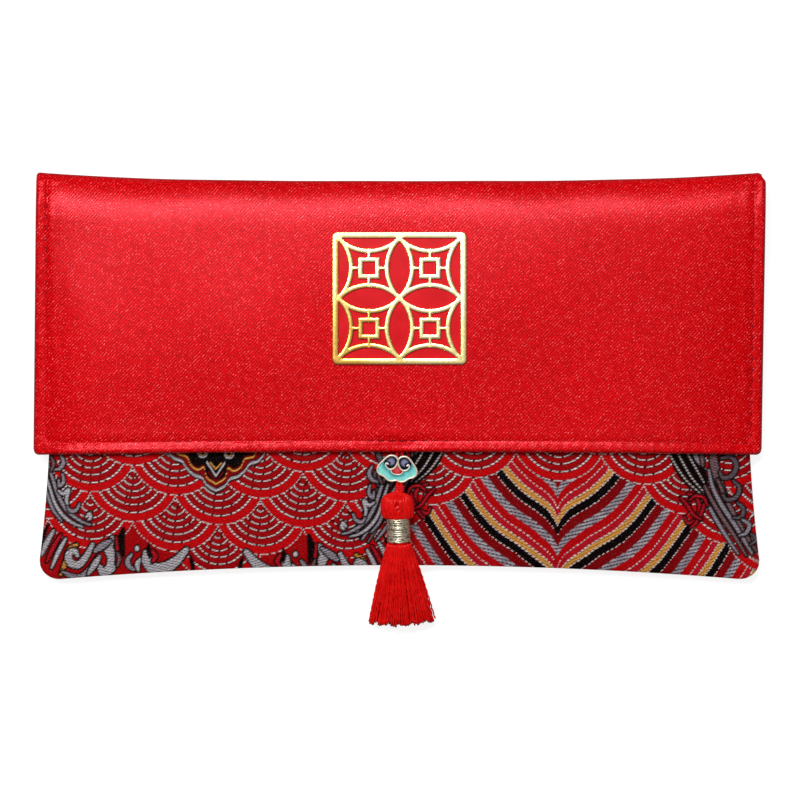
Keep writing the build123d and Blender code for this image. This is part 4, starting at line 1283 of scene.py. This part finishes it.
# right half of the charm's outline, from the notch between its upper lobes to the one below
OUTLINE = (
    (0.0, 2.72), (0.5, 3.38), (1.25, 3.76), (2.1, 3.74), (2.85, 3.36), (3.45, 2.72), (4.15, 1.85),
    (4.85, 0.95), (5.22, 0.05), (5.12, -0.80), (4.65, -1.45), (3.85, -1.80), (3.18, -2.08), (2.62, -2.62),
    (1.92, -3.02), (1.15, -3.10), (0.45, -2.94), (0.0, -2.76),
)
SCROLL = (
    (0.0, 2.7), (0.07, 2.0), (0.3, 1.2), (0.75, 0.5), (1.3, 0.08), (1.9, 0.0), (2.5, 0.26), (2.95, 0.8),
    (2.98, 1.32), (2.66, 1.54), (2.40, 1.30),
)
HEART_RIM = ((-1.62, 0.0), (-1.32, -0.72), (-0.8, -1.1), (0.0, -1.2), (0.8, -1.1), (1.32, -0.72), (1.62, 0.0))
HEART = (
    (0, 0.92), (0.62, 0.30), (1.42, -0.18), (1.0, -0.85), (0, -1.08), (-1.0, -0.85), (-1.42, -0.18),
    (-0.62, 0.30),
)
HEART_MIDDLE = (0.0, -0.3)
DISC_MIDDLE, DISC_RADIUS = (1.74, 1.84), 1.70
# paths of the cords' right legs; each cord's left leg mirrors them
LOOP_RUN = ((0.75, -2.85, 0.0), (0.5, -3.4, 0.0), (0.0, -3.62, 0.0))
LOOP_LEAN = ((-0.1, 0, 0), (-0.15, 0, 0), (-0.15, 0, 0))
LINK_RUN = (
    (0.35, -6.0, 0.15), (0.42, -6.9, 0.30), (0.46, -7.6, 0.75), (0.40, -8.3, 1.35), (0.34, -9.0, 1.95),
    (0.45, -9.8, 2.35),
)
CORD_STRANDS = 3


def on_pendant(points):
    points = np.asarray(points, float)
    return PENDANT + points[:, :1] * ACROSS + points[:, 1:2] * ALONG + points[:, 2:3] * NORMAL


def on_charm(x, y, z):
    c, s = math.cos(CHARM_TURN), math.sin(CHARM_TURN)
    return on_pendant(lift(x * c - y * s + CHARM_SHIFT, x * s + y * c - CHARM_DOWN, z))


def charm_outline():
    half = np.array(OUTLINE) * CHARM_SIZE
    left = half[-2:0:-1] * (-1, 1)
    right_path, left_path = smooth_path(half, 5), smooth_path(np.vstack([half[-1], left, half[0]]), 5)
    return np.vstack([right_path[:-1], left_path[:-1]])


def plate(outline, middle, low, high, dome, rings):
    """A closed plate of a star-shaped outline with a domed top: points and faces."""
    outline, middle = np.asarray(outline, float), np.asarray(middle, float)
    count = len(outline)
    xy, z = [], []
    for k in range(1, rings + 1):
        share = k / rings
        xy.append(middle + (outline - middle) * share)
        z.append(np.full(count, high + dome * (1 - share**3)))
    xy += [outline, middle[None], middle[None]]
    z += [np.full(count, low), np.array([high + dome]), np.array([low])]
    top, base = (rings + 1) * count, (rings + 1) * count + 1
    faces = []
    for i in range(count):
        n = (i + 1) % count
        faces.append((top, n, i))
        for k in range(rings):
            faces.append((k * count + i, k * count + n, (k + 1) * count + n, (k + 1) * count + i))
        faces.append((rings * count + i, rings * count + n, base))
    return np.vstack(xy), np.concatenate(z), faces


def glazed(name, plates, shade):
    """Enamel plates, their shading worked out for each point."""
    parts, colours = Parts(), []
    for xy, z, faces in plates:
        parts.add(on_charm(xy[:, 0], xy[:, 1], z).tolist(), faces)
        colours.append(shade(xy[:, 0], xy[:, 1]))
    piece = parts.build(name, ENAMEL)
    colour_points(piece, "Glaze", np.vstack(colours))
    return piece


def blend_dyes(share, first, second):
    share = np.clip(share, 0, 1)[:, None]
    return first * (1 - share) + second * share


def teal(x, y):
    """Turquoise, darker beside the walls of the lobes and the heart."""
    lobes = np.minimum(np.hypot(x - 1.75, y - 1.7), np.hypot(x + 1.75, y - 1.7)) - 1.8
    heart = np.hypot(x / 1.5, (y + 0.2) / 1.15) * 1.2 - 1.25
    return blend_dyes(np.minimum(lobes, heart) / 0.95, dye(16, 140, 150), dye(138, 230, 224))


def night(x, y):
    """Dark blue with a pale patch, which a dark hook crosses."""
    side = np.sign(x)
    away = np.hypot(x - 1.70 * side, y - 2.0)
    hook = np.hypot(x - 2.25 * side, y - 1.55)
    colour = blend_dyes((away - 0.55) / 0.55, dye(140, 140, 178), dye(12, 10, 26))
    return blend_dyes((hook - 0.35) / 0.3, dye(14, 12, 34), colour)


def rose(x, y):
    """Red, paler in the middle."""
    return blend_dyes(np.hypot(x, y + 0.2) / 1.1, dye(226, 92, 98), dye(186, 20, 34))


def build_charm():
    outline, middle = charm_outline(), np.array(CHARM_MIDDLE)
    metal_parts = Parts()

    def wall(path, radius, closed=False):
        height = np.full(len(path), CHARM_HIGH + 0.02)
        metal_parts.tube(on_charm(path[:, 0], path[:, 1], height), radius, 8, closed, NORMAL)

    xy, z, faces = plate(outline, middle, CHARM_LOW, CHARM_HIGH - 0.12, 0.0, 6)
    metal_parts.add(on_charm(xy[:, 0], xy[:, 1], z).tolist(), faces)
    wall(outline, RIM_WIRE, True)
    for hand in (1, -1):
        wall(smooth_path(np.array(SCROLL) * (hand, 1), 6), WIRE)
        end = on_charm(*np.array([[SCROLL_END[0] * hand], [SCROLL_END[1]], [CHARM_HIGH + 0.06]]))[0]
        metal_parts.add(*bead(end, BEAD_RADIUS))
    wall(smooth_path(HEART_RIM, 5), HEART_WIRE)
    post = on_charm(np.zeros(len(POST_Z)), np.full(len(POST_Z), 0.9), POST_Z)
    metal_parts.tube(post, POST_RADII, 14, up=(1, 0, 0))
    place(metal_parts.build("charm_body", CHARM_GOLD), "charm", "charm_metal", "charm_plate")

    inset = middle + (outline - middle) * 0.975
    cell = plate(inset, middle, CHARM_LOW + 0.3, CHARM_HIGH - 0.06, 0.10, 14)
    place(glazed("charm_turquoise_enamel", [cell], teal), "charm", "turquoise", "charm_turquoise")
    turn = np.arange(36) * 2 * math.pi / 36
    discs = []
    for hand in (1, -1):
        centre = np.array(DISC_MIDDLE) * (hand, 1)
        disc = centre + DISC_RADIUS * plan(np.cos(turn), np.sin(turn))
        discs.append(plate(disc, centre, CHARM_HIGH - 0.05, CHARM_HIGH + 0.05, 0.06, 10))
    place(glazed("charm_indigo_enamel", discs, night), "charm", "indigo", "charm_indigo")
    heart = smooth_path(HEART, 4, True)[::-1]
    gem = plate(heart, HEART_MIDDLE, CHARM_HIGH - 0.05, CHARM_HIGH + 0.04, 0.06, 5)
    place(glazed("charm_coral_enamel", [gem], rose), "charm", "coral", "charm_coral")


def bead(centre, radius):
    """A small ball: points and faces."""
    rows, cols = 6, 10
    verts, faces = [], ring_faces(rows - 1, cols)[:-2]
    for i in range(1, rows):
        polar = math.pi * i / rows
        for k in range(cols):
            turn = 2 * math.pi * k / cols
            way = (math.sin(polar) * math.cos(turn), math.sin(polar) * math.sin(turn), math.cos(polar))
            verts.append(centre + radius * np.array(way))
    verts += [centre + (0, 0, radius), centre - (0, 0, radius)]
    last = (rows - 2) * cols
    for k in range(cols):
        m = (k + 1) % cols
        faces.append((len(verts) - 2, k, m))
        faces.append((len(verts) - 1, last + m, last + k))
    return [tuple(v) for v in verts], faces


def twisted(parts, path, radius, turns):
    """A cord of twisted strands along a path."""
    tangent = unit(np.gradient(path, axis=0))
    side = unit(np.cross(tangent, NORMAL))
    rise = np.cross(side, tangent)
    for k in range(CORD_STRANDS):
        turn = np.linspace(0, turns * 2 * math.pi, len(path)) + k * 2 * math.pi / CORD_STRANDS
        offset = 0.5 * radius * (np.cos(turn)[:, None] * side + np.sin(turn)[:, None] * rise)
        parts.tube(path + offset, 0.56 * radius, 7, up=NORMAL)


def build_cords():
    loop, link = Parts(), Parts()
    under = float(flap_z(0.0, -16.5)) - 0.5
    hidden = (0.45, -15.6, under), (0.50, -18.4, under + 0.02), (0.62, -19.75, under + 0.55)
    shown = (0.68, -20.10, 11.75), (0.70, -20.75, 12.12), (0.72, -21.6, 11.86)
    for hand in (1, -1):
        low = on_pendant(np.array(LOOP_RUN) * (hand, 1, 1) + LOOP_LEAN)
        run = np.vstack([np.array(hidden + shown) * (hand, 1, 1), low])
        twisted(loop, smooth_path(run, 7), 0.40, 5.0 * hand)
    piece = loop.build("hanger_cord", CORD)
    place(piece, None, "cord", "hanger_loop")
    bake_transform(piece)

    for hand in (1, -1):
        run = on_pendant(np.array(LINK_RUN) * (hand, 1, 1))
        twisted(link, smooth_path(run, 6), 0.46, 3.0 * hand)
    turn = np.linspace(0, 2 * math.pi, 23)[:-1]
    for k in range(3):
        along, above = -8.05 - 0.42 * k + 0.12 * np.sin(turn + k), 1.02 + 0.36 * k + 0.66 * np.sin(turn)
        link.tube(on_pendant(lift(0.98 * np.cos(turn), along, above)), 0.27, 8, True, up=ALONG)
    piece = link.build("link_cord", CORD)
    place(piece, None, "cord", "tassel_link")
    start, end = on_pendant(((0, -6.9, 0.5), (0, -7.9, 0.9))) * MM
    tuple(start)
    tuple(end)
    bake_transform(piece)


# ---------------------------------------------------------------- tassel
# outline of the head: shares of its length, and of its half width and half depth there
HEAD_SHARES = (0.0, 0.08, 0.13, 0.26, 0.40, 0.62, 0.86, 1.0)
HEAD_WIDE = (0.10, 0.13, 0.34, 0.80, 0.93, 0.99, 0.98, 0.86)
HEAD_DEEP = (0.14, 0.16, 0.34, 0.76, 0.96, 1.0, 0.90, 0.80)
HEAD_SIDES, HEAD_THREADS, HEAD_DENT = 28, 84, 4.1
TASSEL_DOWN, TASSEL_LIFT = 8.25, 2.45
NECK_THREADS, NECK_RADIUS = 40, 2.26
WIND_START, WIND_LENGTH, WIND_TURNS, WIND_RADIUS = 7.50, 6.30, 11, 2.66
SKIRT_START, SKIRT_LENGTH, SKIRT_STRANDS = 14.1, 21.3, 440
GOLDEN_TURN = 2.39996


def on_tassel(across, above, along):
    """Places across, above and along the tassel's axis, which sways a little."""
    sway = np.interp(along, (0.0, 4.0, 9.0, 14.0, 35.0), (-0.5, -0.62, -0.25, -0.15, 0.55))
    return on_pendant(lift(across + sway, -TASSEL_DOWN - along, TASSEL_LIFT + above))


def head_half(share, size):
    """Half width and half depth of the head, of that size at its fullest."""
    wide, deep = (np.interp(share, HEAD_SHARES, half) for half in (HEAD_WIDE, HEAD_DEEP))
    return size[0] * wide, size[1] * deep


def build_head():
    """A dented core under a layer of threads."""
    dice = random.Random(4)
    parts = Parts()
    share = np.concatenate([np.linspace(0, 0.26, 6), np.linspace(0.26, 1, 10)[1:]])
    turn = np.arange(HEAD_SIDES) * 2 * math.pi / HEAD_SIDES
    verts = []
    for along, wide, deep in zip(0.2 + 7.2 * share, *head_half(share, (3.95, 2.8))):
        across = wide * np.cos(turn)
        dent = 2.0 * np.exp(-((across / 0.7) ** 2) - ((along - HEAD_DENT) / 0.8) ** 2) * (np.sin(turn) > 0)
        verts.extend(on_tassel(across, deep * np.sin(turn) - dent, np.full(HEAD_SIDES, along)).tolist())
    parts.add(verts, ring_faces(len(share), HEAD_SIDES))
    fine = np.concatenate([np.linspace(0, 0.26, 8), np.linspace(0.26, 1, 13)[1:]])
    for k in range(HEAD_THREADS):
        place_round = 2 * math.pi * (k + dice.uniform(-0.3, 0.3)) / HEAD_THREADS
        veer, sway = dice.uniform(-0.35, 0.35), dice.uniform(-0.08, 0.08)
        depth = dice.uniform(0.93, 1.0)
        angle = place_round + veer * (fine - 0.6) + sway * np.sin(fine * 7 + k)
        wide, deep = head_half(fine, (4.12 * depth, 2.95 * depth))
        across, along = wide * np.cos(angle), 0.12 + 7.35 * fine
        parting = np.exp(-((across / 1.1) ** 2) - ((along - HEAD_DENT) / 1.3) ** 2) * (np.sin(angle) > 0)
        across = across + 0.62 * np.sign(across) * parting
        radii = 0.24 * (0.6 + 0.4 * ramp(fine, 0.0, 0.4))
        parts.tube(on_tassel(across, deep * np.sin(angle), along), radii, 6, up=NORMAL)
    place(parts.build("tassel_head_threads", SILK), "tassel", "silk", "tassel_head")


def build_neck():
    """The neck's threads and core, and the metallic thread wound round them."""
    parts = Parts()
    along = np.linspace(7.2, 14.2, 8)
    for k in range(NECK_THREADS):
        turn = 2 * math.pi * k / NECK_THREADS
        across, above = NECK_RADIUS * math.cos(turn) + 0 * along, NECK_RADIUS * math.sin(turn) + 0 * along
        parts.tube(on_tassel(across, above, along), 0.20, 6, up=NORMAL)
    along = np.linspace(7.1, 14.3, 6)
    parts.tube(on_tassel(0 * along, 0 * along, along), 2.24, 32, up=NORMAL)
    place(parts.build("tassel_neck", SILK), "tassel", "silk", "tassel_core")

    dice = random.Random(9)
    share = np.linspace(0, 1, WIND_TURNS * 44 + 1)
    turn = share * WIND_TURNS * 2 * math.pi

    def uneven(per_turn, low, high):
        draws = [dice.uniform(low, high) for _ in range(WIND_TURNS * per_turn + 1)]
        return np.interp(share * WIND_TURNS * per_turn, np.arange(len(draws)), draws)

    drift = uneven(1, -0.12, 0.12)
    out = WIND_RADIUS + uneven(2, -0.05, 0.06)
    winding = Parts()
    path = on_tassel(out * np.cos(turn), out * np.sin(turn), WIND_START + WIND_LENGTH * share + drift)
    winding.tube(path, 0.30, 8, up=ALONG)
    place(winding.build("tassel_winding", METALLIC), "tassel", "metallic_thread", "tassel_binding")


def build_skirt():
    """Loose strands, set out evenly over the neck's round and spreading towards their ends."""
    dice = random.Random(17)
    parts = Parts()
    fine = np.linspace(0, 1, 30)
    open_up = 0.22 * fine**0.6 + 0.78 * fine
    for k in range(SKIRT_STRANDS):
        reach, turn = math.sqrt((k + 0.5) / SKIRT_STRANDS), k * GOLDEN_TURN
        x, y = reach * math.cos(turn), reach * math.sin(turn)
        lock = math.floor((x * 8.3 + 0.35 * y) / 1.15)
        length = SKIRT_LENGTH + 0.35 * math.sin(2.4 * lock) + dice.uniform(-0.22, 0.22)
        length += -0.6 * reach * abs(x) - 0.35 * x
        gather, bow = dice.uniform(-0.10, 0.10), dice.uniform(-0.22, 0.22)
        kink = dice.uniform(50.0, 75.0) * fine + dice.uniform(0, 6.28)
        px = x * (2.75 + 5.75 * open_up) + gather * fine + bow * np.sin(math.pi * fine) + 0.09 * np.sin(kink)
        py = y * (2.7 + 0.2 * fine) + dice.uniform(-0.1, 0.1) * fine - 1.35 * fine**2 + 0.12 * np.cos(kink)
        parts.tube(on_tassel(px, py, SKIRT_START + length * fine), 0.235 * (1 - 0.10 * fine), 6, up=NORMAL)
    place(parts.build("tassel_strands", SILK), "tassel", "silk", "tassel_skirt")


# ---------------------------------------------------------------- CAD pieces that stay, camera and light
FLOOR_HALF, FLOOR_Z, FLOOR_GLOW, WORLD_GLOW = 3000.0, -0.02, 0.85, 0.15
SENSOR, VIEW_WIDTH, VIEW_DISTANCE = 36.0, 0.2025, 1.5
CAMERA_PLACE = (0.00013, -0.00608, 1.508)


def dress(node, material):
    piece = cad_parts[node]
    piece.data.materials.clear()
    piece.data.materials.append(material)


def area_light(name, place_at, size, power):
    """A rectangular lamp that faces the origin."""
    lamp = bpy.data.lights.new(name, "AREA")
    lamp.shape, lamp.size, lamp.size_y, lamp.energy = "RECTANGLE", size[0], size[1], power
    light = bpy.data.objects.new(name, lamp)
    light.location = place_at
    x, y, z = place_at
    light.rotation_euler = (math.atan2(math.hypot(x, y), z), 0.0, math.atan2(-x, y))
    bpy.context.scene.collection.objects.link(light)


def build_stage():
    s = Shader(
        "pale_floor",
        Roughness=0.9,
        Specular_IOR_Level=0.1,
        Emission_Color=(1.0, 1.0, 1.0),
        Emission_Strength=FLOOR_GLOW,
    )
    s.colour(s.mix(s.noise(s.place(), 0.01), (0.30, 0.30, 0.30), (0.32, 0.32, 0.32)))
    corners = [(x * FLOOR_HALF, y * FLOOR_HALF, FLOOR_Z) for x, y in ((-1, -1), (1, -1), (1, 1), (-1, 1))]
    floor = make("floor", corners, [(0, 1, 2, 3)], s.material)
    floor.visible_diffuse = False
    floor.visible_glossy = False
    scene = bpy.context.scene
    scene.world = bpy.data.worlds.new("studio")
    scene.world.use_nodes = True
    background = scene.world.node_tree.nodes["Background"]
    background.inputs[0].default_value = (1.0, 1.0, 1.0, 1.0)
    background.inputs[1].default_value = WORLD_GLOW
    area_light("key", (-0.25, 0.480, 1.40), (1.0, 0.16), 23.4)
    area_light("over", (0.05, 0.0, 1.6), (1.4, 1.4), 2.8)
    camera = bpy.data.objects.new("camera", bpy.data.cameras.new("camera"))
    camera.data.sensor_width = SENSOR
    camera.data.lens = SENSOR * VIEW_DISTANCE / VIEW_WIDTH
    camera.data.clip_end = 20.0
    camera.location = CAMERA_PLACE
    scene.collection.objects.link(camera)
    scene.camera = camera
    scene.view_settings.view_transform = "Standard"


build_stage()
build_front()
build_back()
build_flap()
build_layers()
build_stitches()
build_stud_threads()
build_emblem()
build_charm()
build_cords()
build_head()
build_neck()
build_skirt()
dress("emblem_film", FILM)
dress("snap_socket", STEEL)
dress("snap_ball", STEEL)
